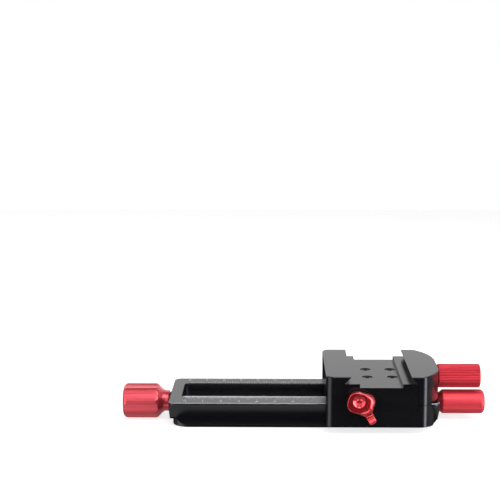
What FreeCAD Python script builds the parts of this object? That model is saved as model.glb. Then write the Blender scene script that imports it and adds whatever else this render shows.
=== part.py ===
import FreeCAD, Part

# Macro focusing rail: a carriage with a clamp for a camera plate is driven along
# a dovetail rail by a lead screw.
#
# Frame: millimetres, X along the rail with the plate clamp's knob at +X, Y across,
# Z up.  The origin is the centre of the dovetail foot's underside.
# The carriage is stored at the +X end of its travel.

import math
import os
from dataclasses import dataclass

import Sketcher

OUTPUT_FOLDER = "parts"
NEAR = -1   # the side of the rail that carries the brake lever
FAR = 1
FRONT = -1  # the rail end with the large knob
REAR = 1

# Every driving dimension: alias, millimetres (or a count), meaning.
DIMENSIONS = (
    # Rail
    ("rail_length", 150.0, "rail bar, end to end"),
    ("rail_width", 53.0, "rail bar across its top"),
    ("rail_height", 16.0, "underside of the foot to the top of the rail"),
    ("rail_land", 0.9, "upright land above the slanted sides"),
    ("rail_corner", 4.0, "plan radius of the rail's corners"),
    ("neck_width", 32.0, "narrowest part between foot and rail"),
    ("foot_width", 38.0, "dovetail foot, clamped by a quick-release head"),
    ("foot_lip", 1.0, "upright edge of the foot"),
    ("foot_inset", 1.5, "foot shorter than the rail at each end"),
    ("foot_corner", 9.0, "plan radius of the foot's corners"),
    ("slot_width", 30.0, "open slot in the top of the rail"),
    ("slot_depth", 6.0, "depth of the open slot"),
    ("slot_corner", 3.0, "plan radius of the slot's corners"),
    ("end_wall", 6.4, "rail left standing at each end of the slot"),
    ("groove_width", 12.0, "deeper groove under the lead screw"),
    ("groove_depth", 4.5, "groove floor below the slot floor"),
    ("edge_break", 0.4, "chamfer on the machined edges"),
    ("tripod_small_radius", 2.6, "tapped wall of a 1/4 inch tripod thread"),
    ("tripod_large_radius", 3.97, "tapped wall of a 3/8 inch tripod thread"),
    ("tripod_spacing", 32.0, "middle thread to each outer thread"),
    # Lead screw
    ("screw_diameter", 6.0, "lead screw over its thread"),
    ("screw_height", 10.0, "axis of the lead screw above the foot"),
    ("journal_diameter", 5.0, "plain ends of the lead screw"),
    ("running_fit", 0.05, "radial clearance of a shaft that turns in a hole"),
    ("end_float", 0.1, "clearance between faces that turn on each other"),
    ("bush_diameter", 8.0, "bush pressed into an end wall"),
    ("bush_flange_diameter", 10.0, "flange on the end face of the rail"),
    ("bush_flange", 0.8, "thickness of that flange"),
    ("washer_diameter", 9.0, "thrust washer under a drive knob"),
    ("washer_thickness", 0.5, "thrust washer under a drive knob"),
    ("journal_in_knob", 18.0, "length of journal held in each drive knob"),
    # Drive knobs
    ("front_knob_diameter", 19.6, "large fluted knob"),
    ("front_knob_length", 26.0, "large knob from its washer to its end"),
    ("front_neck_diameter", 11.8, "neck of the large knob"),
    ("front_neck_length", 2.1, "straight part of that neck"),
    ("front_flare_length", 4.9, "flare between that neck and the grip"),
    ("front_flare_rise", 1.4, "flare above the neck halfway along"),
    ("front_end_bevel", 1.8, "bevel on the large knob's end"),
    ("front_flute_radius", 9.0, "cutter radius of the large knob's flutes"),
    ("front_flute_depth", 0.75, "depth of the large knob's flutes"),
    ("rear_knob_diameter", 13.7, "slim knob at the other end"),
    ("rear_knob_length", 26.5, "slim knob from its washer to its end"),
    ("rear_shoulder_diameter", 9.2, "small end of the slim knob's shoulder"),
    ("rear_shoulder_length", 2.9, "tapered shoulder of the slim knob"),
    ("rear_end_bevel", 1.5, "bevel on the slim knob's end"),
    ("rear_flute_radius", 6.0, "cutter radius of the slim knob's flutes"),
    ("rear_flute_depth", 0.3, "depth of the slim knob's flutes"),
    ("flute_count", 8, "flutes round each drive knob"),
    ("knob_screw_radius", 1.5, "grub screw that holds a drive knob"),
    ("front_knob_screw_length", 5.0, "grub screw that holds the large knob"),
    ("rear_knob_screw_length", 3.8, "grub screw that holds the slim knob"),
    ("knob_screw_place", 14.0, "grub screw from the knob's washer face"),
    # Carriage
    ("carriage_length", 63.5, "carriage from its flat end to its bowed end"),
    ("carriage_width", 64.0, "carriage across the rail"),
    ("carriage_bottom", 4.2, "underside of the carriage above the foot"),
    ("carriage_top", 32.4, "top of the carriage above the foot"),
    ("carriage_overhang", 0.5, "bowed end past the rail's end"),
    ("carriage_corner", 2.0, "upright edges at the flat end"),
    ("bow_radius", 34.0, "plan radius of the bowed end's flanks"),
    ("bow_flat", 8.5, "half of the flat middle of the bowed end"),
    ("bow_corner", 4.0, "rounding where the bow meets the sides"),
    ("tunnel_clearance", 0.3, "carriage to rail, square to the faces"),
    ("travel_margin", 1.0, "flat end inside the rail's end at full travel"),
    ("stop_gap", 0.5, "nut to slot end at each end of the travel"),
    # Channel for the camera plate
    ("channel_place", 33.4, "middle of the cross channel from the bowed end"),
    ("channel_width", 40.2, "channel across its floor"),
    ("channel_depth", 4.0, "channel floor below the carriage top"),
    ("channel_lip", 0.3, "upright lip above the channel's slopes"),
    ("relief_width", 23.4, "shallow relief in the channel floor"),
    ("relief_depth", 2.1, "depth of that relief"),
    # Plate clamp
    ("jaw_gap", 0.2, "jaw to block when closed"),
    ("jaw_lift", 0.3, "jaw above the cheeks of the carriage"),
    ("jaw_bottom", 16.5, "underside of the jaw above the foot"),
    ("clamp_screw_diameter", 5.0, "clamp screw"),
    ("knob_gap", 1.45, "clamp knob above the slim knob"),
    ("clamp_thread_depth", 7.6, "tapped depth in the carriage"),
    ("clamp_tip_gap", 0.2, "screw tip to the end of its hole"),
    ("clamp_knob_diameter", 13.4, "knurled knob of the clamp"),
    ("clamp_knob_length", 23.8, "knurled knob of the clamp"),
    ("clamp_knob_bevel", 0.7, "bevel on the clamp knob's ends"),
    ("clamp_screw_in_knob", 14.0, "length of screw held in the knob"),
    ("clamp_washer_diameter", 11.0, "washer between knob and jaw"),
    ("clamp_washer_thickness", 0.7, "washer between knob and jaw"),
    ("clamp_ring_diameter", 8.0, "ring that makes the jaw follow the screw"),
    ("clamp_ring_thickness", 1.0, "ring that makes the jaw follow the screw"),
    ("clamp_ring_sink", 0.4, "ring below the jaw's inner face"),
    ("clamp_ring_clearance", 0.3, "ring to its recess"),
    ("pin_diameter", 4.0, "guide pins of the jaw"),
    ("pin_inset", 11.0, "axis of a guide pin from the side of the carriage"),
    ("pin_drop", 2.5, "axis of the guide pins below the clamp screw"),
    ("pin_in_jaw", 9.0, "guide pin length in the jaw"),
    ("pin_in_block", 15.0, "guide pin length in the carriage"),
    # Drive nut
    ("nut_flange_width", 26.0, "flange under the carriage roof"),
    ("nut_flange_thickness", 3.3, "flange under the carriage roof"),
    ("nut_body_width", 11.0, "part that runs in the groove"),
    ("nut_floor_gap", 0.6, "nut above the groove floor"),
    ("nut_screw_diameter", 3.0, "cap screws through the roof"),
    ("nut_screw_spacing_x", 14.0, "cap screws along the rail"),
    ("nut_screw_spacing_y", 17.0, "cap screws across the rail"),
    ("nut_screw_clearance", 0.1, "cap screw to its hole in the roof"),
    ("nut_head_diameter", 5.5, "head of a cap screw"),
    ("nut_head_height", 3.0, "head of a cap screw"),
    ("nut_head_clearance", 0.25, "head to its counterbore"),
    ("nut_head_sink", 0.4, "head below the relief floor"),
    ("nut_socket_width", 2.5, "hexagon socket across flats"),
    ("nut_socket_depth", 1.4, "depth of the hexagon socket"),
    # Glide strips
    ("glide_gap", 0.1, "glide strip to rail"),
    ("glide_thickness", 1.0, "glide strips"),
    ("glide_length", 44.0, "glide strips"),
    ("top_glide_inner", 15.6, "inner edge of a top strip from the middle"),
    ("top_glide_width", 3.5, "width of a top strip"),
    ("side_glide_width", 8.0, "width of a slanted strip"),
    ("side_glide_start", 3.0, "slanted strip from the carriage underside"),
    # Brake
    ("lever_inset", 17.7, "brake shaft from the flat end of the carriage"),
    ("lever_height", 19.8, "brake shaft above the foot"),
    ("shaft_diameter", 6.0, "brake shaft"),
    ("cam_diameter", 4.6, "eccentric on the brake shaft"),
    ("cam_margin", 0.9, "eccentric past each end of the brake shoe"),
    ("cam_throw", 0.25, "eccentric off the shaft's axis"),
    ("cam_turn", 20.0, "eccentric below the horizontal when released, degrees"),
    ("pilot_diameter", 3.0, "inner end of the brake shaft"),
    ("pilot_length", 4.0, "inner end of the brake shaft"),
    ("shaft_groove_depth", 0.6, "groove for the retaining screw"),
    ("shaft_groove_width", 2.7, "groove for the retaining screw"),
    ("shaft_groove_place", 2.2, "groove centre from the carriage face"),
    ("retainer_diameter", 2.5, "screw that keeps the shaft in"),
    ("retainer_length", 6.0, "screw that keeps the shaft in"),
    ("shoe_length", 5.6, "brake shoe across the rail"),
    ("shoe_width", 6.0, "brake shoe along the rail"),
    ("shoe_lift", 0.15, "brake shoe above the rail when released"),
    ("shoe_play", 0.06, "brake shoe to eccentric"),
    ("shoe_clearance", 0.1, "brake shoe to the sides of its pocket"),
    ("shoe_edge", 0.5, "brake shoe from the rail's outer edge"),
    # Lever
    ("lever_gap", 0.2, "lever hub to the carriage face"),
    ("hub_diameter", 9.0, "round hub behind the lever"),
    ("hub_thickness", 1.2, "round hub behind the lever"),
    ("head_long", 14.2, "lever head, long side"),
    ("head_short", 12.4, "lever head, short side"),
    ("head_corner", 4.8, "lever head, corner radius"),
    ("head_thickness", 3.6, "lever head"),
    ("head_offset", 1.75, "head centre from the axis towards the tail"),
    ("head_skew", 43.0, "head's short side to the tail, degrees"),
    ("head_bevel", 1.2, "bevel of the head's front edge"),
    ("boss_diameter", 10.6, "raised round boss on the head"),
    ("boss_height", 0.7, "raised round boss on the head"),
    ("dish_diameter", 6.8, "dish in the boss"),
    ("dish_depth", 1.7, "dish in the boss"),
    ("tail_reach", 14.4, "axis to the tip of the tail"),
    ("tail_width", 3.8, "tail of the lever"),
    ("tail_thickness", 2.8, "tail of the lever"),
    ("tail_toe", 1.5, "raised toe at the tip"),
    ("tail_toe_length", 2.6, "raised toe at the tip"),
    ("tail_angle", 58.0, "tail below the horizontal, degrees"),
    ("lever_screw_diameter", 2.0, "grub screw that holds the lever"),
    ("lever_screw_length", 2.4, "grub screw that holds the lever"),
    ("lever_screw_place", 1.1, "that screw from the back of the lever's head"),
    ("shaft_in_lever", 3.6, "shaft length held in the lever"),
)

LABEL_COLUMN, VALUE_COLUMN, NOTE_COLUMN = "A", "B", "C"


@dataclass(frozen=True)
class Size:
    """A number together with the spreadsheet expression that it comes from."""

    value: float
    text: str

    def combine(self, other, sign, value):
        return Size(value, f"({self.text} {sign} {as_size(other).text})")

    def __add__(self, other):
        return self.combine(other, "+", self.value + as_size(other).value)

    def __sub__(self, other):
        return self.combine(other, "-", self.value - as_size(other).value)

    def __mul__(self, other):
        return self.combine(other, "*", self.value * as_size(other).value)

    def __truediv__(self, other):
        return self.combine(other, "/", self.value / as_size(other).value)

    def __neg__(self):
        return self * -1


def as_size(number):
    """Wrap a plain number, so that it can be combined with a size."""
    if isinstance(number, Size):
        return number
    return Size(float(number), f"({float(number)!r})")


class Dimensions:
    """The spreadsheet of driving dimensions, read by alias."""

    def __init__(self, document, rows):
        self.sheet = document.addObject("Spreadsheet::Sheet", "Sizes")
        self.sizes = {}
        for row, (alias, number, note) in enumerate(rows, start=1):
            self.sheet.set(f"{LABEL_COLUMN}{row}", alias)
            self.sheet.set(f"{VALUE_COLUMN}{row}", str(number))
            self.sheet.set(f"{NOTE_COLUMN}{row}", note)
            self.sheet.setAlias(f"{VALUE_COLUMN}{row}", alias)
            self.sizes[alias] = Size(float(number), f"Sizes.{alias}")
        document.recompute()

    def __getattr__(self, alias):
        return self.sizes[alias]


doc = FreeCAD.newDocument("FocusingRail")
dim = Dimensions(doc, DIMENSIONS)
ZERO = as_size(0)
SQUARE_ROOT_2 = as_size(math.sqrt(2))
PAST = as_size(2)  # how far a cut runs on past the material


# Places that several pieces share

half_length = dim.rail_length / 2
half_rail = dim.rail_width / 2
half_neck = dim.neck_width / 2
half_foot = dim.foot_width / 2
land_bottom = dim.rail_height - dim.rail_land
neck_top = land_bottom - (half_rail - half_neck)
neck_bottom = dim.foot_lip + (half_foot - half_neck)
slot_half = half_length - dim.end_wall
slot_floor = dim.rail_height - dim.slot_depth
groove_floor = slot_floor - dim.groove_depth

knob_face = half_length + dim.bush_flange + dim.end_float + dim.washer_thickness

carriage_right = half_length + dim.carriage_overhang
carriage_left = carriage_right - dim.carriage_length
half_carriage = dim.carriage_width / 2
roof = dim.rail_height + dim.tunnel_clearance
slope_shift = dim.tunnel_clearance * SQUARE_ROOT_2

travel = half_length - dim.travel_margin + carriage_left

channel_centre = carriage_right - dim.channel_place
channel_half = dim.channel_width / 2
channel_floor = dim.carriage_top - dim.channel_depth
channel_run = dim.channel_depth - dim.channel_lip
relief_floor = channel_floor - dim.relief_depth
jaw_face = channel_centre + channel_half
block_face = jaw_face - dim.jaw_gap
cheek_top = dim.jaw_bottom - dim.jaw_lift
knob_radii = (dim.rear_knob_diameter + dim.clamp_knob_diameter) / 2
clamp_height = dim.screw_height + knob_radii + dim.knob_gap
pin_y = half_carriage - dim.pin_inset
pin_z = clamp_height - dim.pin_drop
clamp_washer_face = carriage_right + dim.end_float
clamp_knob_face = clamp_washer_face + dim.clamp_washer_thickness
clamp_tip = block_face - dim.clamp_thread_depth + dim.clamp_tip_gap

nut_length = slot_half * 2 - travel - dim.stop_gap * 2
nut_centre = slot_half - dim.stop_gap - nut_length / 2
nut_screw_x = dim.nut_screw_spacing_x / 2
nut_screw_y = dim.nut_screw_spacing_y / 2
nut_seat = relief_floor - dim.nut_head_height - dim.nut_head_sink

glide_centre = (carriage_left + block_face) / 2
top_glide_bottom = dim.rail_height + dim.glide_gap
slope_bottom = dim.carriage_bottom + dim.side_glide_start

lever_x = carriage_left + dim.lever_inset
shoe_bottom = dim.rail_height + dim.shoe_lift
cam_drop = dim.cam_throw * math.sin(math.radians(dim.cam_turn.value))
cam_underside = dim.lever_height - dim.cam_diameter / 2 - cam_drop
shoe_top = cam_underside - dim.shoe_play
shoe_outer = half_rail - dim.shoe_edge
shoe_centre = -(shoe_outer - dim.shoe_length / 2)
shaft_shoulder = shoe_outer + dim.cam_margin
cam_length = dim.shoe_length + dim.cam_margin * 2
shaft_cam_end = shaft_shoulder - cam_length
shaft_tip = shaft_cam_end - dim.pilot_length


# Drawing helpers

def bind(item, path, size):
    """Tie a property of an object to the spreadsheet."""
    item.setExpression(path, size.text)


def new_body(name):
    """Start a sub-part whose label is its file name."""
    body = doc.addObject("PartDesign::Body", name)
    body.Label = name
    return body


def origin_item(body, role):
    """Find one of a body's own origin planes or axes."""
    for item in body.Origin.OriginFeatures:
        if item.Role == role:
            return item
    raise ValueError(f"{body.Label} has no origin item {role}")


def new_sketch(body, name, role, offset=ZERO):
    """Attach a sketch to an origin plane, moved along the plane's normal."""
    sketch = body.newObject("Sketcher::SketchObject", f"{body.Label}_{name}")
    sketch.AttachmentSupport = (origin_item(body, role), [""])
    sketch.MapMode = "FlatFace"
    sketch.AttachmentOffset = FreeCAD.Placement(
        FreeCAD.Vector(0, 0, offset.value), FreeCAD.Rotation()
    )
    if offset is not ZERO:
        bind(sketch, "AttachmentOffset.Base.z", offset)
    return sketch


def locate(sketch, geometry, point, across, up):
    """Hold one point of a sketch at its bound place."""
    for kind, axis, size in (("DistanceX", -2, across), ("DistanceY", -1, up)):
        if size is ZERO:
            sketch.addConstraint(Sketcher.Constraint("PointOnObject", geometry, point, axis))
            continue
        index = sketch.addConstraint(
            Sketcher.Constraint(kind, -1, 1, geometry, point, size.value)
        )
        bind(sketch, f"Constraints[{index}]", size)


def arc_between(start, end, radius, side):
    """Make the shorter arc from start to end, turning left for side 1 and right for -1."""
    chord = end - start
    middle = (start + end) * 0.5
    height = math.sqrt(max(radius**2 - (chord.Length / 2) ** 2, 0.0))
    normal = FreeCAD.Vector(-chord.y, chord.x, 0).normalize()
    centre = middle + normal * (height * side)
    first, last = (start, end) if side > 0 else (end, start)
    angles = [math.atan2(point.y - centre.y, point.x - centre.x) for point in (first, last)]
    if angles[1] < angles[0]:
        angles[1] += 2 * math.pi
    circle = Part.Circle(centre, FreeCAD.Vector(0, 0, 1), radius)
    return Part.ArcOfCircle(circle, angles[0], angles[1])


def draw_outline(sketch, corners):
    """Draw a closed outline.

    Each corner is (across, up) when a line leaves it, or (across, up, radius, side)
    when an arc leaves it.
    """
    points = [FreeCAD.Vector(corner[0].value, corner[1].value, 0) for corner in corners]
    ends = []
    for index, corner in enumerate(corners):
        start = points[index]
        end = points[(index + 1) % len(points)]
        if len(corner) == 2:
            geometry = sketch.addGeometry(Part.LineSegment(start, end))
            ends.append((geometry, 1, 2))
            continue
        radius, side = corner[2:]
        geometry = sketch.addGeometry(arc_between(start, end, radius.value, side))
        ends.append((geometry, 1, 2) if side > 0 else (geometry, 2, 1))
    for index, (geometry, _first, last) in enumerate(ends):
        following, start, _end = ends[(index + 1) % len(ends)]
        sketch.addConstraint(
            Sketcher.Constraint("Coincident", geometry, last, following, start)
        )
    for (geometry, first, _last), corner in zip(ends, corners):
        locate(sketch, geometry, first, corner[0], corner[1])
        if len(corner) > 2:
            index = sketch.addConstraint(
                Sketcher.Constraint("Radius", geometry, corner[2].value)
            )
            bind(sketch, f"Constraints[{index}]", corner[2])


def draw_circle(sketch, across, up, radius):
    """Draw a full circle."""
    centre = FreeCAD.Vector(across.value, up.value, 0)
    circle = Part.Circle(centre, FreeCAD.Vector(0, 0, 1), radius.value)
    geometry = sketch.addGeometry(circle)
    locate(sketch, geometry, 3, across, up)
    index = sketch.addConstraint(Sketcher.Constraint("Radius", geometry, radius.value))
    bind(sketch, f"Constraints[{index}]", radius)


def rectangle(left, low, right, high):
    """Corners of a rectangle, counterclockwise."""
    return [(left, low), (right, low), (right, high), (left, high)]


def rounded_rectangle(half_across, half_up, radius):
    """Corners of a centred rectangle with round corners, counterclockwise."""
    return [
        (-half_across + radius, -half_up),
        (half_across - radius, -half_up, radius, 1),
        (half_across, -half_up + radius),
        (half_across, half_up - radius, radius, 1),
        (half_across - radius, half_up),
        (-half_across + radius, half_up, radius, 1),
        (-half_across, half_up - radius),
        (-half_across, -half_up + radius, radius, 1),
    ]


def add_pad(body, sketch, length, symmetric=False, reverse=False):
    """Raise a sketch into a solid."""
    pad = body.newObject("PartDesign::Pad", f"{sketch.Name}_pad")
    pad.Profile = sketch
    pad.SideType = "Symmetric" if symmetric else "One side"
    pad.Reversed = reverse
    pad.Length = length.value
    bind(pad, "Length", length)
    return pad


def add_pocket(body, sketch, length, symmetric=False, reverse=False):
    """Cut a sketch out of the solid, and make sure that it does cut."""
    doc.recompute()
    volume_before = body.Shape.Volume
    pocket = body.newObject("PartDesign::Pocket", f"{sketch.Name}_pocket")
    pocket.Profile = sketch
    pocket.SideType = "Symmetric" if symmetric else "One side"
    pocket.Reversed = reverse
    pocket.Type = "Length"
    pocket.Length = length.value
    bind(pocket, "Length", length)
    doc.recompute()
    if body.Shape.Volume >= volume_before:
        raise ValueError(f"{pocket.Name} cuts nothing")
    return pocket


def edges_where(feature, test):
    """Names of the feature's edges that pass a test."""
    edges = enumerate(feature.Shape.Edges, start=1)
    return [f"Edge{index}" for index, edge in edges if test(edge)]


def add_dressup(body, kind, prefix, amount_name, test, amount):
    """Fillet or chamfer the edges of the body's tip that pass a test."""
    doc.recompute()
    base = body.Tip
    names = edges_where(base, test)
    if not names:
        raise ValueError(f"{body.Label} has no edge to {prefix}")
    dressup = body.newObject(kind, f"{body.Label}_{prefix}")
    dressup.Base = (base, names)
    setattr(dressup, amount_name, amount.value)
    bind(dressup, amount_name, amount)
    doc.recompute()
    return dressup


def add_fillet(body, test, radius, prefix="fillet"):
    """Round the edges that pass a test."""
    return add_dressup(body, "PartDesign::Fillet", prefix, "Radius", test, radius)


def add_chamfer(body, test, size, prefix="chamfer"):
    """Bevel the edges that pass a test."""
    return add_dressup(body, "PartDesign::Chamfer", prefix, "Size", test, size)


def lies_in(edge, axis, place, reach=1e-4):
    """Tell whether an edge lies in the plane where the coordinate has this place."""
    box = edge.BoundBox
    low, high = (getattr(box, f"{axis}{end}") for end in ("Min", "Max"))
    return abs(low - place.value) < reach and abs(high - place.value) < reach


def stands_at(edge, across, along):
    """Tell whether an upright edge stands at this X and Y."""
    return lies_in(edge, "X", across) and lies_in(edge, "Y", along)


def runs_along_y(edge, reach=1e-4):
    """Tell whether an edge is straight and square to the carriage's face."""
    return edge.BoundBox.XLength < reach and edge.BoundBox.ZLength < reach


def move_body(body, x=None, y=None, z=None):
    """Place a body, with each coordinate bound to the sheet."""
    for letter, size in (("x", x), ("y", y), ("z", z)):
        if size is not None:
            bind(body, f"Placement.Base.{letter}", size)


def add_turning(name, corners, axis="H_Axis"):
    """Turn a profile of (along, radius) corners about the sketch's own axis."""
    body = new_body(name)
    sketch = new_sketch(body, "profile", "XZ_Plane")
    draw_outline(sketch, corners)
    turning = body.newObject("PartDesign::Revolution", f"{name}_turning")
    turning.Profile = sketch
    turning.ReferenceAxis = (sketch, [axis])
    turning.Angle = 360
    return body


def ring_profile(start, end, inner, outer):
    """Profile of a plain ring between two places on its axis."""
    return [(start, inner), (end, inner), (end, outer), (start, outer)]


def mirrored(corners, side):
    """Mirror a profile along its axis when side is -1."""
    result = []
    for corner in corners:
        along = corner[0] * side
        if len(corner) == 2:
            result.append((along, corner[1]))
        else:
            result.append((along, corner[1], corner[2], corner[3] * side))
    return result


# Rail

def side_cut(side):
    """Outline of what is cut away beside the foot and under the slanted side."""
    outside = (half_rail + PAST) * side
    return [
        (half_rail * side, land_bottom),
        (half_neck * side, neck_top),
        (half_neck * side, neck_bottom),
        (half_foot * side, dim.foot_lip),
        (half_foot * side, -PAST),
        (outside, -PAST),
        (outside, land_bottom),
    ]


def build_rail():
    """The bar: slanted sides, dovetail foot, slot, groove, bores and tripod threads."""
    body = new_body("rail_body")
    plan = new_sketch(body, "plan", "XY_Plane")
    draw_outline(plan, rounded_rectangle(half_length, half_rail, dim.rail_corner))
    add_pad(body, plan, dim.rail_height)

    sides = new_sketch(body, "sides", "YZ_Plane")
    for side in (NEAR, FAR):
        draw_outline(sides, side_cut(side))
    add_pocket(body, sides, dim.rail_length + PAST, symmetric=True)

    foot = new_sketch(body, "foot_ends", "XY_Plane")
    outer_x = half_length + PAST
    outer_y = half_rail + PAST
    draw_outline(foot, rectangle(-outer_x, -outer_y, outer_x, outer_y))
    foot_half_length = half_length - dim.foot_inset
    draw_outline(foot, rounded_rectangle(foot_half_length, half_foot, dim.foot_corner))
    add_pocket(body, foot, neck_bottom, reverse=True)

    slot = new_sketch(body, "slot", "XY_Plane", dim.rail_height)
    draw_outline(slot, rounded_rectangle(slot_half, dim.slot_width / 2, dim.slot_corner))
    add_pocket(body, slot, dim.slot_depth)

    groove = new_sketch(body, "groove", "XY_Plane", slot_floor)
    half_groove = dim.groove_width / 2
    draw_outline(groove, rectangle(-slot_half, -half_groove, slot_half, half_groove))
    add_pocket(body, groove, dim.groove_depth)

    bores = new_sketch(body, "bush_bores", "YZ_Plane")
    draw_circle(bores, ZERO, dim.screw_height, dim.bush_diameter / 2)
    add_pocket(body, bores, dim.rail_length + PAST, symmetric=True)

    threads = new_sketch(body, "tripod_threads", "XY_Plane")
    draw_circle(threads, ZERO, ZERO, dim.tripod_large_radius)
    for side in (FRONT, REAR):
        draw_circle(threads, dim.tripod_spacing * side, ZERO, dim.tripod_small_radius)
    add_pocket(body, threads, groove_floor + dim.edge_break, reverse=True)

    add_chamfer(body, lambda edge: lies_in(edge, "Z", dim.rail_height), dim.edge_break)


def build_bush(name, side):
    """A flanged bush, pressed into an end wall from outside."""
    bore = dim.journal_diameter / 2 + dim.running_fit
    sleeve = dim.bush_diameter / 2
    flange = dim.bush_flange_diameter / 2
    outer_face = half_length + dim.bush_flange
    profile = [
        (slot_half, bore),
        (outer_face, bore),
        (outer_face, flange),
        (half_length, flange),
        (half_length, sleeve),
        (slot_half, sleeve),
    ]
    move_body(add_turning(name, mirrored(profile, side)), z=dim.screw_height)


# Lead screw and its knobs

def build_lead_screw():
    """The screw: threaded between the end walls, plain in the bushes and the knobs."""
    thread = dim.screw_diameter / 2
    journal = dim.journal_diameter / 2
    shoulder = slot_half - dim.end_float
    tip = knob_face + dim.journal_in_knob
    profile = [
        (-tip, ZERO),
        (tip, ZERO),
        (tip, journal),
        (shoulder, journal),
        (shoulder, thread),
        (-shoulder, thread),
        (-shoulder, journal),
        (-tip, journal),
    ]
    move_body(add_turning("lead_screw", profile), z=dim.screw_height)


def build_thrust_washer(name, side):
    """A washer between a bush's flange and a drive knob."""
    inner = dim.journal_diameter / 2
    start = half_length + dim.bush_flange + dim.end_float
    profile = ring_profile(start, knob_face, inner, dim.washer_diameter / 2)
    move_body(add_turning(name, mirrored(profile, side)), z=dim.screw_height)


def cut_flutes(body, side, knob_radius, knob_length, cutter, depth):
    """Cut the shallow flutes round a drive knob from its outer end."""
    end_plane = (knob_face + knob_length + PAST) * side
    flute = new_sketch(body, "flute", "YZ_Plane", end_plane)
    draw_circle(flute, ZERO, knob_radius + cutter - depth, cutter)
    pocket = add_pocket(body, flute, knob_length + PAST, reverse=(side == FRONT))
    pattern = body.newObject("PartDesign::PolarPattern", f"{body.Label}_flutes")
    pattern.Originals = [pocket]
    pattern.Axis = (origin_item(body, "X_Axis"), [""])
    pattern.Angle = 360
    pattern.Occurrences = int(dim.flute_count.value)
    bind(pattern, "Occurrences", dim.flute_count)
    body.Tip = pattern


def drill_knob(body, side, knob_radius):
    """Drill the tapped hole of a drive knob's grub screw."""
    hole = new_sketch(body, "screw_hole", "XZ_Plane")
    place = (knob_face + dim.knob_screw_place) * side
    draw_circle(hole, place, ZERO, dim.knob_screw_radius)
    add_pocket(body, hole, knob_radius + PAST)


def knob_end(end, grip, bevel):
    """Profile of a drive knob's outer end, with a 45 degree bevel."""
    return [(end, ZERO), (end, grip - bevel), (end - bevel, grip)]


def knob_socket():
    """Profile of the blind hole that takes a journal of the lead screw."""
    journal = dim.journal_diameter / 2
    socket_end = knob_face + dim.journal_in_knob
    return [(knob_face, journal), (socket_end, journal), (socket_end, ZERO)]


def build_front_knob():
    """The large knob: a neck that flares out to a fluted grip."""
    neck = dim.front_neck_diameter / 2
    grip = dim.front_knob_diameter / 2
    neck_end = knob_face + dim.front_neck_length
    end = knob_face + dim.front_knob_length
    profile = knob_socket() + knob_end(end, grip, dim.front_end_bevel) + [
        (neck_end + dim.front_flare_length, grip),
        (neck_end + dim.front_flare_length / 2, neck + dim.front_flare_rise),
        (neck_end, neck),
        (knob_face, neck),
    ]
    body = add_turning("front_knob", mirrored(profile, FRONT))
    drill_knob(body, FRONT, grip)
    cut_flutes(
        body, FRONT, grip, dim.front_knob_length, dim.front_flute_radius, dim.front_flute_depth
    )
    move_body(body, z=dim.screw_height)


def build_rear_knob():
    """The slim knob: a tapered shoulder and a faintly fluted grip with a round end."""
    shoulder = dim.rear_shoulder_diameter / 2
    grip = dim.rear_knob_diameter / 2
    end = knob_face + dim.rear_knob_length
    profile = knob_socket() + knob_end(end, grip, dim.rear_end_bevel) + [
        (knob_face + dim.rear_shoulder_length, grip),
        (knob_face, shoulder),
    ]
    body = add_turning("rear_knob", profile)
    drill_knob(body, REAR, grip)
    cut_flutes(
        body, REAR, grip, dim.rear_knob_length, dim.rear_flute_radius, dim.rear_flute_depth
    )
    move_body(body, z=dim.screw_height)


def build_cylinder(name, radius, length, base, direction):
    """A plain round piece: base is where its axis starts, direction is where it points."""
    cylinder = doc.addObject("Part::Cylinder", name)
    cylinder.Label = name
    bind(cylinder, "Radius", radius)
    bind(cylinder, "Height", length)
    start = FreeCAD.Vector(*(size.value for size in base))
    turn = FreeCAD.Rotation(FreeCAD.Vector(0, 0, 1), FreeCAD.Vector(*direction))
    cylinder.Placement = FreeCAD.Placement(start, turn)
    for letter, size in zip("xyz", base):
        bind(cylinder, f"Placement.Base.{letter}", size)
    return cylinder


def build_knob_screw(name, side, length):
    """The grub screw that presses a drive knob onto its journal, on the far side."""
    base = (
        (knob_face + dim.knob_screw_place) * side,
        dim.journal_diameter / 2,
        dim.screw_height,
    )
    build_cylinder(name, dim.knob_screw_radius, length, base, (0, 1, 0))


# Carriage

def bowed_plan(left):
    """Plan outline with a flat left end and a bowed right end."""
    reach = half_carriage - dim.bow_flat
    depth_text = f"sqrt(({dim.bow_radius.text})^2 - ({reach.text})^2)"
    depth = Size(math.sqrt(dim.bow_radius.value**2 - reach.value**2), depth_text)
    bow_drop = dim.bow_radius - depth
    bow_start = carriage_right - bow_drop
    return [
        (left, -half_carriage),
        (bow_start, -half_carriage, dim.bow_radius, 1),
        (carriage_right, -dim.bow_flat),
        (carriage_right, dim.bow_flat, dim.bow_radius, 1),
        (bow_start, half_carriage),
        (left, half_carriage),
    ], bow_start


def tunnel_outline():
    """The room for the rail: its own section, wider by the clearance, open below."""
    return [
        (-half_rail - dim.tunnel_clearance, roof),
        (-half_rail - dim.tunnel_clearance, land_bottom - slope_shift + dim.tunnel_clearance),
        (-half_neck - slope_shift, neck_top),
        (-half_neck - slope_shift, ZERO),
        (half_neck + slope_shift, ZERO),
        (half_neck + slope_shift, neck_top),
        (half_rail + dim.tunnel_clearance, land_bottom - slope_shift + dim.tunnel_clearance),
        (half_rail + dim.tunnel_clearance, roof),
    ]


def channel_outline():
    """The cross channel with its relief, and the room for the movable jaw."""
    lip = channel_centre - channel_half + channel_run
    above = dim.carriage_top + PAST
    beyond = carriage_right + PAST
    relief_left = channel_centre - dim.relief_width / 2
    relief_right = channel_centre + dim.relief_width / 2
    return [
        (lip, above),
        (lip, channel_floor + channel_run),
        (channel_centre - channel_half, channel_floor),
        (relief_left, channel_floor),
        (relief_left, relief_floor),
        (relief_right, relief_floor),
        (relief_right, channel_floor),
        (block_face, channel_floor),
        (block_face, cheek_top),
        (beyond, cheek_top),
        (beyond, above),
    ]


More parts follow.
